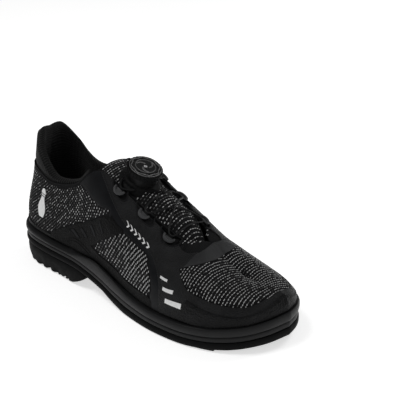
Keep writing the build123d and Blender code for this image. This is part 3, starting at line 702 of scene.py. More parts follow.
THROAT_LIP = [(10.08, .985), (10.27, .88), (10.57, .805), (10.86, .81)]
BRIDGE_SIDE = [(10.86, .81), (10.74, .72), (10.60, .62)]
REAR_LIMIT = [(9.76, .02), (9.74, .16), (9.70, .36), (9.43, .55), (8.93, .65), (7.45, .70), (6.78, .78),
              (6.3, .87), (5.86, .985)]


def fine_leather(uv):
    """Faint diagonal emboss of the eyestay's film."""
    return 0.05 * np.sin((uv[:, 0] + uv[:, 1]) * 3.6) * np.sin((uv[:, 0] - uv[:, 1]) * 3.6)


STRAP_WINDOWS = ((4.06, .281), (4.48, .328), (5.07, .388), (5.82, .458))
STRAP_CHEVRON = ((3.55, .045), (4.06, .154), (4.85, .06))
WINDOW_CORNERS = np.array([(-.24, .050), (-.06, .068), (.24, -.040), (.06, -.058)])
STRAP_FACE = 0.95             # height of the strap's face off the wall


def strap_ornament(side):
    """Slanted windows and a double chevron on the waist strap: dark tiles and the cords round them."""
    tiles, cords = [], []
    for window in STRAP_WINDOWS:
        loop = outlined(*[[tuple(corner)] for corner in WINDOW_CORNERS + window], side=side, step=0.8)
        tiles.append(slab(loop, on_wall, STRAP_FACE - .05, STRAP_FACE + .07, 0.05, cell=1.5))
        cords.append(tube(on_wall(loop, np.full(len(loop), STRAP_FACE + .03)), .32, 6, closed=True))
    for shift in (0.0, .045):
        line = curve(unrolled([(s, t + shift) for s, t in STRAP_CHEVRON], side), 0.8)
        cords.append(tube(on_wall(line, np.full(len(line), STRAP_FACE + .03)), .3, 6))
    return join(tiles), join(cords)


for side, name in SIDES:
    foxing = outlined(
        [(4.25, .985), (4.42, .94), (4.85, .81), (5.25, .72), (5.85, .665), (6.5, .70)],
        [(6.55, .70), (6.5, .62), (6.9, .60)],
        [(7.4, .605), (8.1, .61), (8.9, .60), (9.07, .50), (9.22, .38), (9.3, .24), (9.2, .125)],
        [(9.28, .02)],
        [(9.85, .02), (9.82, .16), (9.8, .36), (9.5, .57), (9.0, .67), (7.5, .73), (6.85, .81), (6.4, .90),
         (6.0, .985)], side=side)
    overlay(f"foxing_{name}_panel", foxing, smooth_leather, [f"foxing_{name}"],
            low=0.1, high=0.75, edge=0.35)
    strap = outlined(
        [(3.0, .02), (3.25, .165), (3.68, .335), (4.1, .435), (4.7, .485), (5.5, .53), (6.35, .61)],
        [(6.62, .66), (7.0, .63), (7.42, .60)], [(6.25, .385), (4.95, .212)],
        [(4.9, .205), (5.6, .150), (6.5, .145), (7.9, .115), (9.15, .125)], [(9.3, .02)], side=side)
    overlay(f"strap_{name}_panel", strap, strap_leather, [f"side_strap_{name}"],
            low=0.15, high=STRAP_FACE, cell=2.0)
    tiles, cords = strap_ornament(side)
    piece(f"strap_windows_{name}", tiles, smooth_leather)
    piece(f"strap_cords_{name}", cords, strap_leather)
    eyestay = outlined(rim_with_notches(5.9, 10.05), THROAT_LIP, BRIDGE_SIDE,
                       [(10.46, .595)] + TOE_EDGE[1:4], [(11.3, .295)], [(11.3, .02)], REAR_LIMIT, side=side)
    overlay(f"eyestay_{name}_panel", eyestay, eyestay_leather,
            [f"eyestay_{name}", f"forepart_overlay_{name}"], low=0.3, cell=2.0, relief=fine_leather)

GUARD_TOP = [(11.0, .235), (11.6, .18), (12.3, .14), (12.9, .12), (13.7, .16), (14.4, .23), (15.0, .335)]
BORDER_LOW = [(11.25, .1), (12.9, .08), (14.4, .14), (15.0, .25)]


def past_toe(half):
    """A run that ends at the toe tip, carried on round the other side."""
    return list(half) + [(30 - s, t) for s, t in half[-2::-1]]


border = outlined(past_toe(TOE_EDGE[3:]), past_toe(BORDER_LOW)[::-1])
overlay("toe_border_panel", border, eyestay_leather, ["toe_border"],
        low=0.2, high=1.08, cell=2.0, relief=fine_leather)


def toe_fold(uv):
    """The guard swells along its upper edge at the toe, with small creases across it."""
    s, t = uv[:, 0] / ALONG, uv[:, 1] / UP
    edge = np.interp(np.where(s > 15, 30 - s, s), *np.array(GUARD_TOP).T)
    near = np.exp(-(((edge - t) * UP - 3.2) / 1.6) ** 2)
    tip = np.exp(-((s - 15) / 1.3) ** 2)
    return near * (0.35 + 0.55 * tip * (1 + 0.5 * np.sin(s * 19)))


guard = outlined(past_toe(GUARD_TOP), past_toe([(10.95, .015), (15.0, .015)])[::-1])
overlay("toe_guard_panel", guard, guard_leather, ["toe_guard"],
        low=0.3, high=1.5, edge=0.6, cell=1.6, relief=toe_fold)
trim = outlined([(-3.1, .015), (3.1, .015)], [(3.05, .07), (0.0, .075), (-3.05, .07)])
overlay("heel_trim_panel", trim, guard_leather, ["heel_trim"], low=0.2)
stay = outlined([(-.38, .10), (.38, .10)], [(.36, .5), (.30, .985)], [(-.30, .985), (-.36, .5)])
overlay("backstay_panel", stay, smooth_leather, ["backstay"], low=0.2, high=1.1, cell=1.5)

# the bridge over the front of the throat lies on the top of the shell, so it is outlined in plan
shell_tree = surface_of(*(made[n] for n in ("quarter_knit_lateral", "quarter_knit_medial", "vamp_knit")))


def on_shell(xy, off):
    """Plan points laid on the knitted shell; those that miss it move on and inwards until they meet it."""
    points = []
    for (x, y), height in zip(xy, off):
        hit, normal = dropped(x, y, shell_tree)
        while hit is None:
            x, y = x + 0.5, y * 0.98
            hit, normal = dropped(x, y, shell_tree)
        points.append(hit + normal * height)
    return np.array(points)


def plan(half):
    """Plan points of a half outline on the lateral side, carried on over the ridge to the medial side."""
    half = curve(unrolled(half), 1.5) / (ALONG, UP)
    return np.concatenate([wall(half[:, 0], half[:, 1])[:, :2], wall(-half[::-1, 0], half[::-1, 1])[:, :2]])


lip = plan([(10.45, .80), (10.58, .795), (10.86, .80), (11.02, .87), (11.12, .97)])
front = plan([(10.45, .605), (10.62, .61), (11.02, .64), (11.34, .72), (11.7, .84), (12.0, .975)])
bridge_outline = np.concatenate([lip, front[::-1]])
piece("bridge_panel", slab(bridge_outline, on_shell, 0.15, 0.95, 0.4, cell=2.0),
      bridge_leather, replaces=["vamp_bridge"])

# throat floats: the tongue's knit seems to carry on under the lip
places = []
for row, x in enumerate(np.arange(44, 64, TOE_ROW)):
    for y in np.arange(-19, 20, TOE_DASH) + (row % 2) * TOE_DASH / 2:
        hit, normal = dropped(x, y, shell_tree)
        if hit is None or hit[2] < 60:
            continue
        if (x > 44 + abs(y) * 0.2) and x < 58 - (abs(y) / 18) ** 2 * 8:
            places.append((hit + normal * FLOAT_LIFT, normal))
piece("knit_floats_throat", lying_across(places, 2.4, 1.0, 0.7), silver_yarn)

# ---- seams -----------------------------------------------------------------------------------
for side, name in SIDES:
    seam_runs = [
        ([(s, t - .020) for s, t in rim_with_notches(5.95, 10.0)], 1.05),
        ([(s - .09, t + .008) for s, t in TOE_EDGE[:4]], 1.05),
        ([(s + .09, t + .012) for s, t in REAR_LIMIT[1:]], 1.05),
        ([(s + .13, t + .010) for s, t in REAR_LIMIT[1:]], 1.05),
        ([(3.12, .04), (3.38, .15), (3.78, .31), (4.2, .41), (4.75, .46), (5.5, .505), (6.35, .585)], 0.9),
        ([(5.05, .195), (6.32, .362), (7.45, .575)], 0.9),
        ([(4.5, .955), (4.95, .83), (5.32, .745), (5.9, .69), (6.5, .73)], 0.68)]
    seams = [stitches(curve(unrolled(path, side), 1.5), off) for path, off in seam_runs]
    piece(f"stitching_{name}", join(seams), thread)
toe_seam = curve(unrolled(past_toe([(s, t - .016) for s, t in GUARD_TOP])), 1.5)
edge_seam = curve(unrolled(past_toe([(s, t - .02) for s, t in TOE_EDGE[4:]])), 1.5)
heel_seams = [unrolled([(s, t) for t in np.linspace(.12, .96, 60)]) for s in (-.24, .24)]
seams = [stitches(toe_seam, 1.75), stitches(edge_seam, 1.0)] + [stitches(seam, 1.05) for seam in heel_seams]
piece("stitching_toe_and_heel", join(seams), thread)

# ---- white marks: bars, a row of lane arrows, and a plain pin --------------------------------
# bars: stations of their ends, levels of the lower and upper edge, and how much the rear end is raised
BARS = ((10.08, 10.80, .13, .185, .035), (9.93, 10.42, .28, .325, .03), (9.75, 10.10, .425, .46, .025))
ARROW = np.array([(-.11, .032), (0, .0), (-.11, -.032), (-.03, -.032), (.09, .0), (-.03, .032)])
for side, name in SIDES:
    parts = []
    for start, end, low, high, drop in BARS:
        bar = outlined([(start, low + drop)], [(end, low)],
                       [(end + .02, high)], [(start + .02, high + drop)], side=side, step=0.6)
        parts.append(slab(bar, on_wall, 1.15, 1.5, 0.15, cell=1.5))
    piece(f"accent_bars_{name}_film", join(parts), white_film, replaces=[f"accent_bars_{name}"])
    arrows = []
    for k in range(6):
        head = ARROW + (7.72 + .235 * k, .715 - .0035 * k)
        arrows.append(slab(unrolled(head, side), on_wall, 1.1, 1.42, 0.12, cell=1.0))
    piece(f"lane_arrows_{name}", join(arrows), white_film)

# half outline of a bowling pin: height above its base and radius
PIN = [(0, 2.6), (2.5, 3.6), (7, 4.9), (11, 5.2), (15, 4.4), (19, 2.9), (22.5, 2.1), (25.5, 2.7),
       (28.5, 3.0), (31, 2.3), (32.6, 0.9)]
PIN_PARTS = ((0, 23.6), (24.6, 26.0), (27.0, 32.6))
PIN_STATION, PIN_LEVEL = 2.66, .30
REAR_STATION, REAR_WALL = 29.0, 62.0      # real millimetres to a station and to the whole wall at the pin
for side, name in SIDES:
    parts = []
    for low, high in PIN_PARTS:
        heights = np.linspace(low, high, 24)
        radii = np.interp(heights, *np.array(PIN).T)
        loop = np.concatenate([np.column_stack([radii, heights]), np.column_stack([-radii, heights])[::-1]])
        loop = loop * (ALONG / REAR_STATION, UP / REAR_WALL) + (PIN_STATION * ALONG, PIN_LEVEL * UP)
        parts.append(slab(loop * (side, 1), on_wall, .3, .8, .12, cell=1.2))
    piece(f"pin_mark_{name}", join(parts), white_film)

# ---- collar ----------------------------------------------------------------------------------
COLLAR_END = 5.0              # the station where the collar stops, on either side
COLLAR_GAP = KNIT + 0.4       # from the wall in to the pad


def collar_section(s):
    """Closed section of the padded collar: the roll stands above the rim and bulges inwards."""
    away = abs(s)
    thick = COLLAR_PAD * (1 - 0.35 * max(0.0, away - 3.5) / 1.5)
    rise = float(smooth(HEEL_TAB, away)[0])
    outer = [(t, 0.0) for t in np.linspace(0.5, 1.0, 9)]
    outer += [(1.0, rise * share) for share in (.12, .3, .5, .7, .85, .95)]
    line = [wall(s, t, -COLLAR_GAP + (KNIT + 0.1) * min(1.0, up / 5), up) for t, up in outer]
    back = [wall(s, t, -COLLAR_GAP - thick * (1.0 + 0.12 * math.sin(math.pi * k / 14)), up)
            for k, (t, up) in enumerate(outer)]
    crown = [wall(s, 1.0, -COLLAR_GAP - thick * (0.5 - 0.5 * math.cos(angle)),
                  rise * 0.95 + max(rise * 0.05, 0.3) + thick * 0.42 * math.sin(angle) - 0.3)
             for angle in np.linspace(0.25, math.pi - 0.25, 7)]
    return np.array(line + crown + back[::-1])


stations = np.linspace(-COLLAR_END, COLLAR_END, 141)
sections = np.array([collar_section(s) for s in stations])
around = sections.shape[1]
run = stations[:, None] * ALONG + np.zeros((1, around))
uv = np.stack([run, np.broadcast_to(np.arange(around) * 3.0, run.shape)], -1).reshape(-1, 2)
collar = piece("collar_pad", (*loft(sections), uv), collar_cloth, replaces=["collar_padding"])

piping = wall(np.linspace(-COLLAR_END, COLLAR_END, 201), 1.0, -0.3, 0.35)
piece("collar_piping", tube(piping, 0.75, 8), piping_cloth)

# ---- inside: board and footbed ---------------------------------------------------------------
def sole_loop(inset_by):
    """Plan outline of the sole, moved in from its edge."""
    foot = station_rows(np.linspace(0, 30, 240, endpoint=False))[:, :2]
    anticlockwise = np.cross(foot, np.roll(foot, -1, 0)).sum() > 0
    return inset(foot if anticlockwise else foot[::-1], inset_by - WELT)


def cut(loop, start=-200.0, end=200.0):
    """The part of a plan outline between two distances along X, closed by straight cuts."""
    keep = (loop[:, 0] >= start) & (loop[:, 0] <= end)
    if keep.all():
        return loop
    first = int(np.argmax(keep & ~np.roll(keep, 1)))
    chain = np.roll(loop, -first, 0)[np.roll(keep, -first)]
    gap = max(2, int(np.linalg.norm(chain[-1] - chain[0]) / 2.5))
    bridge = chain[-1] + (chain[0] - chain[-1]) * np.linspace(0, 1, gap + 1)[1:-1, None]
    return np.concatenate([chain, bridge])


def layer(top, bottom):
    """Puts a slab between two height lines: its height 0 is the bottom line and 1 the top line."""
    def place(xy, share):
        low, high = bottom(xy[:, 0]), top(xy[:, 0])
        return np.column_stack([xy, low + (high - low) * share])
    return place


def share_of_sole(share, drop=0.0):
    """A height line a share of the way down the sole, and drop below that."""
    def height(x):
        top = height_on(TOP_LINE, x)
        return top - share * (top - height_on(UNDER_LINE, x)) - drop
    return height


def above_top(rise):
    """A height line above the top of the sole."""
    return lambda x: height_on(TOP_LINE, x) + rise


board_inset = WELT + KNIT + 1.5
piece("board_panel", slab(sole_loop(board_inset), layer(above_top(2.2), above_top(.15)), 0, 1, 0.2, cell=6),
      board_card, replaces=["insole_board"])
bed_loop = sole_loop(board_inset + COLLAR_PAD)
bed = slab(bed_loop, layer(above_top(6.2), above_top(2.3)), 0, 1, 0.35, cell=3,
           relief=lambda xy: 0.05 * np.sin(xy[:, 0] * .9) * np.sin(xy[:, 1] * .9))
piece("footbed_pad", bed, lining_cloth, replaces=["footbed"])

# ---- tongue ----------------------------------------------------------------------------------
TONGUE = np.array([(-46, 113, 109, 20), (-30, 110, 106.5, 20), (-12, 105, 98.5, 20), (12, 97, 87, 19.5),
                   (36, 83.5, 75, 17.5), (47, 72, 66.5, 12.5), (57, 61, 58.5, 8)], float)
TONGUE_END, TONGUE_FRONT = TONGUE[0, 0], TONGUE[-1, 0]


def tongue_row(x):
    """The tongue at x: its place, crown, edge height and half width."""
    index = np.clip(np.searchsorted(TONGUE[:, 0], x, side="right") - 1, 0, len(TONGUE) - 2)
    start, end = TONGUE[index, 0], TONGUE[index + 1, 0]
    return smooth(TONGUE, index + (x - start) / (end - start))


def tongue_top(x, y):
    """Height of the tongue's outer face."""
    _, crown, edge, half = np.moveaxis(tongue_row(np.asarray(x, float)), -1, 0)
    return crown - (crown - edge) * (y / half) ** 2


def tongue_solid(drop, thick, trim):
    """An arched layer of the tongue with soft edges and a rounded free end."""
    sections = []
    for x in np.linspace(TONGUE_END + trim, TONGUE_FRONT - trim, 70):
        half = tongue_row(x)[3] - trim
        y = np.linspace(-half, half, 33)
        top = tongue_top(x, y) - drop
        from_end = min(1.0, (x - TONGUE_END - trim) / 3.0)
        ease = math.sqrt(max(0.05, 1 - (1 - from_end) ** 2))
        past = ((np.abs(y) / half - .86) / .14).clip(0, 1)
        soft = 0.5 * thick * (1 - np.sqrt(np.clip(1 - past ** 2, 0, 1)))
        upper = top - soft - thick * 0.5 * (1 - ease)
        lower = top - thick + soft * 0.9 + thick * 0.5 * (1 - ease)
        sections.append(np.concatenate([np.column_stack([np.full(33, x), y, upper]),
                                        np.column_stack([np.full(33, x), y, lower])[::-1]]))
    sections = np.array(sections)
    points, faces = loft(sections)
    return points, faces, points[:, :2]


tongue = piece("tongue_knit", tongue_solid(0, 3.0, 0), knit_cloth, replaces=["tongue"])
lining = piece("tongue_pad", tongue_solid(3.15, 1.5, 1.0),
               collar_cloth, replaces=["tongue_lining"])
tongue_tree = surface_of(tongue)
places = []
for row, x in enumerate(np.arange(-44, 55, TOE_ROW)):
    for y in np.arange(-20, 20, TOE_DASH) + (row % 2) * TOE_DASH / 2:
        if abs(y) > tongue_row(x)[3] - 1.5:
            continue
        hit, normal = dropped(x + rng.normal(0, .1), y, tongue_tree)
        if hit is not None:
            places.append((hit + normal * 0.1, normal))
yarn_beads("knit_floats_tongue", lying_across(places, 2.5, 1.0, 0.65), 0.6)
rim = []
for x in np.linspace(TONGUE_FRONT, TONGUE_END + 1, 60):
    half = float(tongue_row(x)[3]) - 1.0
    rim.append((x, -half, float(tongue_top(x, -half)) + 0.2))
rim += [(TONGUE_END - .2, y, float(tongue_top(TONGUE_END, y)) - 0.9) for y in np.linspace(-18, 18, 20)]
rim += [(x, -y, float(tongue_top(x, -y)) + 0.2) for x, y, _ in rim[59::-1]]
piece("tongue_binding", tube(rim, 0.9, 8), piping_cloth)

# ---- sole ------------------------------------------------------------------------------------
RIM_SHARE, BAND_SHARE = 0.40, 0.26
SOLE_GRID = (-150, -62), (151, 62)        # corners of a box round the sole

# how far the sidewall's outer edge stands above the line where the upper meets the sole, along X
LIP = np.array([(-110, -1), (-85, -3), (-65, -2.4), (-54, 0), (-45, 2.4), (-35, 4.8), (-25, 5.3),
                (-15, 4.5), (-5, 3.2), (5, 1.6), (16, 0), (40, -.6), (100, 0)], float)


def lip(x):
    return height_on(LIP, x)


def sole_band(name, inset_by, top, bottom, material, replaces, edge=1.0, ends=(-200, 200), bulge=0.0,
              notch=None, cell=6.0, raised=None):
    """A layer of the sole with rounded edges: the rings go round at heights between two lines."""
    loop = cut(sole_loop(inset_by), *ends)
    profile = [(edge * 1.2, 0.0), (edge * .35, .25 * edge), (0, edge)]
    rings = []
    for distance, rise in profile:
        rings.append((distance, bottom, rise))
    for share in (.3, .5, .7):
        rings.append((-bulge * math.sin(share * math.pi), share, 0))
    for distance, rise in profile[::-1]:
        rings.append((distance, top, -rise))
    points, uv = [], []
    for distance, level, rise in rings:
        flat = inset(loop, distance)
        upper = top(flat[:, 0]) + (raised(flat[:, 0]) if raised else 0)
        if level is bottom:
            height = bottom(flat[:, 0]) + rise
        elif level is top:
            height = upper + rise
        else:
            height = bottom(flat[:, 0]) * (1 - level) + upper * level
        points.append(np.column_stack([flat, height]))
    if notch is not None:
        points = notch(points)
    around = len(loop)
    faces = ring_faces(len(rings), around)
    points = list(points)
    for ring, height, flip in ((0, bottom, True), (len(rings) - 1, top, False)):
        border = points[ring][:, :2]
        spots = spots_inside(border, *SOLE_GRID, cell, 0.3, cell * 0.5)
        extra, found = fill(border, spots, ring * around, sum(map(len, points)), flipped=flip)
        faces += found
        if len(extra):
            points.append(np.column_stack([extra, height(extra[:, 0])]))
    points = np.concatenate(points)
    return piece(name, (points, faces, points[:, :2]), material, replaces=replaces, crease=50)


band_low = RIM_SHARE + BAND_SHARE
sole_band("midsole_rim_wall", 0.2, share_of_sole(0), share_of_sole(RIM_SHARE), sole_rubber,
          ["midsole_rim"], edge=1.1, bulge=0.5, raised=lip)
sole_band("midsole_band_wall", 0.9, share_of_sole(RIM_SHARE, .15), share_of_sole(band_low), sole_rubber,
          ["midsole_band"], edge=0.9, bulge=0.2)
sole_band("outsole_wall", 0.4, share_of_sole(band_low, .15), share_of_sole(1), tread_rubber,
          ["outsole"], edge=1.0, bulge=0.4)


def flat_at(height):
    return lambda x: np.zeros_like(x) + height


LUG_PITCH, LUG_BITE = 12.0, 1.1           # along the edge, and how deep the scallops cut
LUG_SHARES = (1.0, 1.0, .95, .55, .2, 0, 0, 0, 0)     # how much of that each ring takes, from below
RIB_DEPTH, RIBS_TO_LUG, RIB_FRONT = 1.1, 3, -78
WALL_BATTER = 1.2                         # how far the heel's foot stands in
BREAST_START, BREAST_LENGTH, BREAST_RUN, BREAST_HEIGHT = -86, 40, 24.0, 16


def lugs(points):
    """Scalloped lugs round the lower edge, ribs up the wall, and a breast that runs back to the ground."""
    ring = points[0]
    spans = np.linalg.norm(np.roll(ring, -1, 0)[:, :2] - ring[:, :2], axis=1)
    run = np.concatenate([[0], np.cumsum(spans)[:-1]])
    pitch = spans.sum() / round(spans.sum() / LUG_PITCH)
    cut_in = 2 - 2 * np.abs(np.sin(run / pitch * np.pi)) ** 0.35
    ribs = RIB_DEPTH * np.clip(np.sin(run / pitch * 2 * RIBS_TO_LUG * np.pi) * 2, 0, 1)
    centre = ring[:, :2].mean(0)
    out = []
    for level, share in zip(points, LUG_SHARES):
        inward = centre - level[:, :2]
        inward /= np.linalg.norm(inward, axis=1)[:, None]
        level = level.copy()
        level[:, :2] += inward * (cut_in[:, None] * LUG_BITE + WALL_BATTER) * share
        level[:, 2] += cut_in * LUG_BITE * share
        if 0 < share < .98:
            level[:, :2] += inward * (ribs * (level[:, 0] < RIB_FRONT))[:, None]
        low = np.clip(1 - level[:, 2] / BREAST_HEIGHT, 0, 1)
        level[:, 0] -= BREAST_RUN * low ** 1.3 * np.clip((level[:, 0] - BREAST_START) / BREAST_LENGTH, 0, 1)
        out.append(level)
    return out


RECESS = 0.8                  # the treads stand this proud of the heel
BAR_WIDTH = 1.6
PAD_RECESS = 0.35
sole_band("heel_block_wall", 1.5, share_of_sole(1, .3), flat_at(RECESS), tread_rubber,
          ["heel_block"], edge=1.6, ends=(-200, -41), bulge=0.5, notch=lugs, cell=5)
sole_band("traction_pad_wall", 2.0, flat_at(3.0), flat_at(PAD_RECESS), tread_rubber,
          ["traction_pad"], edge=0.6, ends=(2, 112), cell=5)


def tread(start, end, width=BAR_WIDTH):
    """A tread bar between two plan points, from the ground into the heel or the pad."""
    start, end = np.array(start, float), np.array(end, float)
    ahead = (end - start) / np.linalg.norm(end - start)
    side = np.array([-ahead[1], ahead[0]]) * width / 2
    box = np.array([start - side, end - side, end + side, start + side])
    loop = np.concatenate([curve(np.array([box[k], box[(k + 1) % 4]]), 2.0)[:-1] for k in range(4)])
    return slab(loop, lambda xy, h: np.column_stack([xy, h]), 0, RECESS + .2, 0.01, under=0.3, cell=3)


HEEL_FRAMES = ((-134, 13), (-118, 25), (-102, 30), (-86, 31), (-72, 31))      # x and half width of each
treads = []
for x, half in HEEL_FRAMES:
    inner = half - 6
    treads += [tread((x - 5, -half + 2), (x - 5, half - 2)), tread((x + 6, -half), (x + 6, half))]
    for y in (-1, 1):
        treads.append(tread((x - 4, y * (half - 2)), (x + 5, y * half)))
    for y in np.arange(-inner, inner + .1, 5.0):
        treads.append(tread((x - 2.6, y), (x + 3.6, y), 1.5))
piece("heel_tread_bars", join(treads), tread_rubber)
treads = []
pad_loop = cut(sole_loop(6.0), 6, 108)
for x in np.arange(8, 108, 4.4):
    reach = pad_loop[np.abs(pad_loop[:, 0] - x) < 3][:, 1]
    if len(reach) > 1:
        low, high = reach.min() + 1, reach.max() - 1
        across = np.linspace(low, high, 13)
        line = [(x + 3.0 * math.sin((y - low) / (high - low) * math.pi), y) for y in across]
        for a, b in zip(line[:-1:3], line[3::3]):
            treads.append(tread(a, b, 2.2))
piece("forepart_tread_bars", join(treads), tread_rubber)


def shank_relief(xy):
    """Two long curved ribs and a ribbed strip beside each."""
    x, y = xy.T
    bow = 3.0 * np.sin((x + 45) / 46 * np.pi)
    height = np.zeros(len(xy))
    for place in (-19 + bow, 17 - bow):
        height += 1.1 * np.exp(-((y - place) / 1.3) ** 4)
        strip = np.abs(y - place * 1.22) < 2.0
        height += 0.5 * strip * (np.sin(x * 2 * np.pi / 3.2) > 0)
    return height


def below_sole(xy, height):
    """Puts the shank's slab upside down under the waist."""
    return np.column_stack([xy, height_on(UNDER_LINE, xy[:, 0]) - 0.3 - height])


shank_loop = cut(sole_loop(9.0), -42, 1)
piece("shank_panel", slab(shank_loop, below_sole, 0, 1.8, 0.5, cell=1.6, relief=shank_relief),
      shank_plastic, replaces=["shank_plate"])

# ---- dial ------------------------------------------------------------------------------------
SEAT = np.array([-11.0, 0.0, 105.6])
TILT = math.radians(20)
DIAL_X = np.array([math.cos(TILT), 0, -math.sin(TILT)])
DIAL_Z = np.array([math.sin(TILT), 0, math.cos(TILT)])
BASE_R, NOSE, NOSE_R, BASE_TOP = 17.5, 19.0, 3.5, 1.6


def on_dial(x, y, z):
    """Points given from the dial's seat: x forward and y across its face, z along its axis."""
    x, y, z = np.broadcast_arrays(x, y, z)
    return SEAT + x[..., None] * DIAL_X + y[..., None] * (0, 1.0, 0) + z[..., None] * DIAL_Z


def boot_reach(angle):
    """Edge of the round base, with its nose towards the toe, at an angle from straight forward."""
    angle = abs((angle + math.pi) % (2 * math.pi) - math.pi)
    tangent = math.acos((BASE_R - NOSE_R) / NOSE)
    if angle >= tangent:
        return BASE_R
    line = BASE_R / math.cos(angle - tangent)
    if angle >= .25:
        return line
    aside = NOSE * math.sin(angle)
    beyond = NOSE * math.cos(angle) + math.sqrt(NOSE_R ** 2 - aside ** 2) if NOSE_R > aside else 0
    end = math.hypot(NOSE + NOSE_R * math.cos(tangent), NOSE_R * math.sin(tangent))
    return min(line, max(beyond, end))


# rings of the boot from its skirt up: how far in from its outline, height, and depth of its ribs
BOOT = ((-2.0, -7.0, 0), (-2.4, -6.0, 0), (-2.0, -3.8, 0), (-1.1, -2.6, 0), (.6, -1.7, .0), (1.0, -1.3, .22),
        (1.2, -0.4, .22), (1.5, .3, .22), (1.9, .7, 0), (2.4, .75, 0), (2.9, 1.25, 0),
        (3.3, BASE_TOP - .02, 0))
# for the first rings: at which ring the tongue is read, and how far above it the skirt stays
BOOT_LIFT = ((0, 0), (1, .3), (2, .9), (2, 1.4))
angles = np.linspace(0, 2 * np.pi, 180, endpoint=False)
boot = np.array([boot_reach(angle) for angle in angles])
boot = np.mean([np.roll(boot, k) for k in range(-3, 4)], 0)
ribs = np.sign(np.sin(angles * 30)) * (np.abs(np.sin(angles * 30)) ** .5)
sections = []
for shrink, height, ribbed in BOOT:
    reach = boot - shrink + ribs * ribbed
    sections.append(on_dial(reach * np.cos(angles), reach * np.sin(angles), height))
sections = np.array(sections)
low = tongue_top(sections[:3, :, 0], sections[:3, :, 1]) - 0.4
for section, (ring, lift) in zip(sections, BOOT_LIFT):
    section[:, 2] = np.maximum(section[:, 2], low[ring] + lift)
piece("dial_boot", loft(sections), dial_soft, replaces=["dial_base"], crease=50)

for node, material in (("dial_housing", dial_plastic), ("dial_spool", dial_plastic), ("dial_shaft", steel),
                       ("dial_knob", dial_gloss), ("dial_grip", dial_soft), ("dial_cap", dial_plastic),
                       ("dial_screw", steel), ("sole_badge", badge_metal)):
    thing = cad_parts[node]
    thing.data.materials.clear()
    thing.data.materials.append(material)

KNOB_TOP = 14.0


def dial_circle(radius, height, count=60):
    """A closed line round the dial's axis; its radius may change on the way round."""
    turn = np.linspace(0, 2 * np.pi, count, endpoint=False)
    return on_dial(radius * np.cos(turn), radius * np.sin(turn), height)


wavy = 12.4 + 0.55 * np.sin(np.linspace(0, 16 * np.pi, 144, endpoint=False))
piece("dial_wavy_ring", tube(dial_circle(wavy, KNOB_TOP + 0.05, 144), 0.55, 8, closed=True),
      dial_rim, body="dial_knob")
emblem = []
for k in range(3):
    sweep = np.linspace(0, 1, 24)
    radius, turn = 3.2 + 5.2 * sweep, k * 2 * math.pi / 3 + .4 + 1.25 * sweep
    vane = on_dial(radius * np.cos(turn), radius * np.sin(turn), KNOB_TOP + 0.35)
    emblem.append(tube(vane, 0.75, 8, flat=.6))
emblem.append(tube(dial_circle(9.0, KNOB_TOP + .3), 0.4, 8, closed=True))
piece("dial_cap_vanes", join(emblem), dial_rim, body="dial_knob")
piece("dial_bright_edge", tube(dial_circle(14.1, KNOB_TOP - .25), 0.42, 8, closed=True),
      dial_rim, body="dial_knob")

# ---- lace guides -----------------------------------------------------------------------------
GUIDE_LEVEL, GUIDE_R, GUIDE_OFF = .975, 5.0, 1.45


def guide_frame(station, side):
    """Middle of a guide with directions along the throat, up to the rim and out."""
    spot = np.array([side * station]), np.array([GUIDE_LEVEL])
    point, along, up, out = (v[0] for v in wall_frames(*spot, GUIDE_OFF))
    along = along / np.linalg.norm(along) * side
    up = up - along * up.dot(along)
    up /= np.linalg.norm(up)
    out = out - along * out.dot(along) - up * out.dot(up)
    return point, along, up, out / np.linalg.norm(out)


CORNER = np.linspace(0, 2 * np.pi, 16, endpoint=False)
GUIDE_SECTION = [np.sign(wave) * np.abs(wave) ** .7 for wave in (np.cos(CORNER), np.sin(CORNER))]
PLATE_R, SCALLOP_R = 4.1, 8.1


def guide_arch(point, along, up, out):
    """The half-round bead of a guide: a rounded square section, finer at its two mouths."""
    sections = []
    for turn in np.linspace(math.pi - .05, 2 * math.pi + .05, 40):
        radial = along * math.cos(turn) + up * math.sin(turn)
        taper = 1.0 - 0.25 * abs(math.cos(turn)) ** 6
        x, z = GUIDE_SECTION[0] * 1.25 * taper, GUIDE_SECTION[1] * 1.0 + .9
        sections.append(point + radial * (GUIDE_R - .1) + x[:, None] * radial + z[:, None] * out)
    return loft(np.array(sections))


def guide_plate(point, along, up, out):
    """The half-round plate inside the bead."""
    def place(xy, height):
        return point + xy[:, :1] * along + xy[:, 1:] * up + height[:, None] * out
    turns = np.linspace(math.pi, 2 * math.pi, 24)
    half = np.array([(math.cos(turn) * PLATE_R, math.sin(turn) * PLATE_R) for turn in turns])
    return slab(half, place, -.3, .35, .15, cell=1.4)


def guide_scallop(station, side):
    """The cord sewn round a guide's notch."""
    turn = np.linspace(math.pi - .30, 2 * math.pi + .30, 44)
    line = np.column_stack([station * ALONG + SCALLOP_R * np.cos(turn),
                            NOTCH_LEVEL * UP + SCALLOP_R * np.sin(turn)])
    return tube(on_wall(line * (side, 1), np.full(44, .75)), .65, 8)


for side, name in SIDES:
    parts = []
    for station in GUIDES:
        frame_here = guide_frame(station, side)
        parts += [guide_arch(*frame_here), guide_plate(*frame_here)]
    piece(f"lace_guides_{name}_moulded", join(parts), guide_plastic,
          replaces=[f"lace_guides_{name}"])
    piece(f"guide_scallops_{name}", join([guide_scallop(station, side) for station in GUIDES]),
          thread)

# ---- cable: one run from the dial's nose, through the guides and back ------------------------
CABLE_R, CABLE_TURN, LOW_LIFT, HIGH_LIFT = 0.8, 3.0, 3.0, 5.0


def guide_mouth(index, side, forward):
    """Where the cable passes one end of a guide's bore."""
    point, along, up, out = guide_frame(GUIDES[index], side)
    return point + along * forward * CABLE_TURN + up * 1.4 + out * 0.9


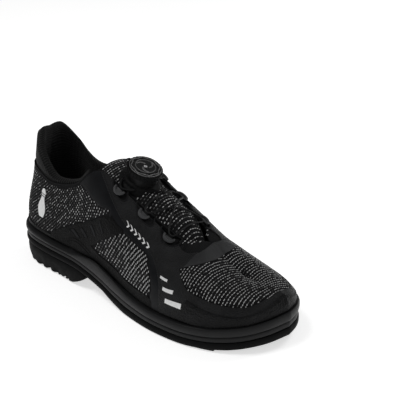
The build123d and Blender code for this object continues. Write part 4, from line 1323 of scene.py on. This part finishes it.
def over_tongue(start, end, lift, shares=(.34, .66)):
    """Points above the tongue at shares of the way between two ends."""
    points = []
    for share in shares:
        x, y, _ = start + (end - start) * share
        points.append(np.array([x, y, float(tongue_top(x, y)) + lift]))
    return points


def cable(route):
    """A round cable along a smooth NURBS line through given control points."""
    data = bpy.data.curves.new("cable", "CURVE")
    data.dimensions = "3D"
    data.resolution_u = 12
    spline = data.splines.new("NURBS")
    spline.points.add(len(route) - 1)
    for control, place in zip(spline.points, route):
        control.co = (*(np.asarray(place) * MM), 1.0)
    spline.order_u = 3
    spline.use_endpoint_u = True
    holder = bpy.data.objects.new("cable_line", data)
    bpy.context.scene.collection.objects.link(holder)
    line = bpy.data.meshes.new_from_object(holder)
    path = np.array([v.co for v in line.vertices]) / MM
    bpy.data.objects.remove(holder)
    return tube(path, CABLE_R, 10)


exits = {side: on_dial(NOSE + 3.6, -side * 2.9, -.2) for side in (1, -1)}
exits_high = {side: on_dial(NOSE + 6.5, -side * 4.2, 0.6) for side in (1, -1)}
rear_lateral, front_lateral = guide_mouth(1, 1, -1), guide_mouth(1, 1, 1)
rear_medial, front_medial = guide_mouth(1, -1, -1), guide_mouth(1, -1, 1)
toe_lateral = guide_mouth(2, 1, -1), guide_mouth(2, 1, 1)
toe_medial = guide_mouth(2, -1, -1), guide_mouth(2, -1, 1)
route = [exits[1], exits_high[1], *over_tongue(exits[1], rear_lateral, LOW_LIFT, [.5])]
route += [rear_lateral, front_lateral]
route += over_tongue(front_lateral, toe_medial[0], LOW_LIFT)
route += toe_medial
route += over_tongue(toe_medial[1], toe_lateral[1], LOW_LIFT)
route += toe_lateral[::-1]
route += over_tongue(toe_lateral[0], front_medial, HIGH_LIFT)
route += [front_medial, rear_medial]
route += over_tongue(rear_medial, exits[-1], LOW_LIFT, [.5])
route += [exits_high[-1], exits[-1]]
piece("lace_line", cable(route), lace_black, replaces=["lace_cable"])
STAY_ANGLES = (122, 66)                  # where a stay meets the dial's base, from straight forward


def stay_end(angle):
    """A point on the dial's base, at degrees from straight forward."""
    turn = math.radians(angle)
    return on_dial((BASE_R + .2) * math.cos(turn), (BASE_R + .2) * math.sin(turn), -.6)


stays = []
for side, _ in SIDES:
    ends = [stay_end(-side * angle) for angle in STAY_ANGLES]
    stays.append(cable([ends[0], guide_mouth(0, side, -1), guide_mouth(0, side, 1), ends[1]]))
piece("stay_lines", join(stays), lace_black, replaces=["stay_loops"])

# ---- floor, light and camera -----------------------------------------------------------------
FLOOR = 12.0                  # half width in metres
floor = bpy.data.meshes.new("floor")
floor.from_pydata([(-FLOOR, -FLOOR, 0), (FLOOR, -FLOOR, 0), (FLOOR, FLOOR, 0), (-FLOOR, FLOOR, 0)], [],
                  [(0, 1, 2, 3)])
floor_object = bpy.data.objects.new("floor", floor)
bpy.context.scene.collection.objects.link(floor_object)
graph = Graph("floor_paper", 0.9)
graph.color(graph.noise(3, 2), (.86, .86, .86), (.90, .90, .90))
graph.shader.inputs["Emission Color"].default_value = (1, 1, 1, 1)
graph.shader.inputs["Emission Strength"].default_value = 0.62
floor.materials.append(graph.material)

world = bpy.data.worlds.new("studio")
bpy.context.scene.world = world
world.use_nodes = True
world.node_tree.nodes["Background"].inputs["Color"].default_value = (1, 1, 1, 1)
world.node_tree.nodes["Background"].inputs["Strength"].default_value = 0.20


AIM = (0, 0, .06)             # a point inside the shoe that every lamp faces


def lamp(name, place, size, power):
    """A square area lamp."""
    data = bpy.data.lights.new(name, "AREA")
    data.shape, data.size, data.size_y, data.energy = "RECTANGLE", size, size, power
    thing = bpy.data.objects.new(name, data)
    bpy.context.scene.collection.objects.link(thing)
    thing.location = place
    thing.rotation_euler = (Vector(place) - Vector(AIM)).to_track_quat("Z", "Y").to_euler()


lamp("key", (-0.3, -0.5, 1.3), 0.5, 5.5)
lamp("fill", (0.9, -0.9, 0.9), 0.6, 0.8)
lamp("back", (0.4, 1.1, 1.2), 0.6, 6)

AZIMUTH, ELEVATION, DISTANCE = math.radians(39.581), math.radians(24.999), 1.0
FOCAL, FRAME, SENSOR = 1099.08, 416, 36.0
RIGHT, ABOVE = .0494, .0732   # how far the camera looks past the frame's origin
right = Vector((math.cos(AZIMUTH), math.sin(AZIMUTH), 0))
back = Vector((math.sin(AZIMUTH) * math.cos(ELEVATION), -math.cos(AZIMUTH) * math.cos(ELEVATION),
               math.sin(ELEVATION)))
above = back.cross(right)
camera = bpy.data.cameras.new("camera")
camera.lens = SENSOR * FOCAL / FRAME
camera.sensor_width = SENSOR
camera_object = bpy.data.objects.new("camera", camera)
bpy.context.scene.collection.objects.link(camera_object)
turn = Matrix((right, above, back)).transposed().to_4x4()
camera_object.matrix_world = Matrix.Translation(right * RIGHT + above * ABOVE + back * DISTANCE) @ turn
bpy.context.scene.camera = camera_object
bpy.context.scene.view_settings.view_transform = "Standard"
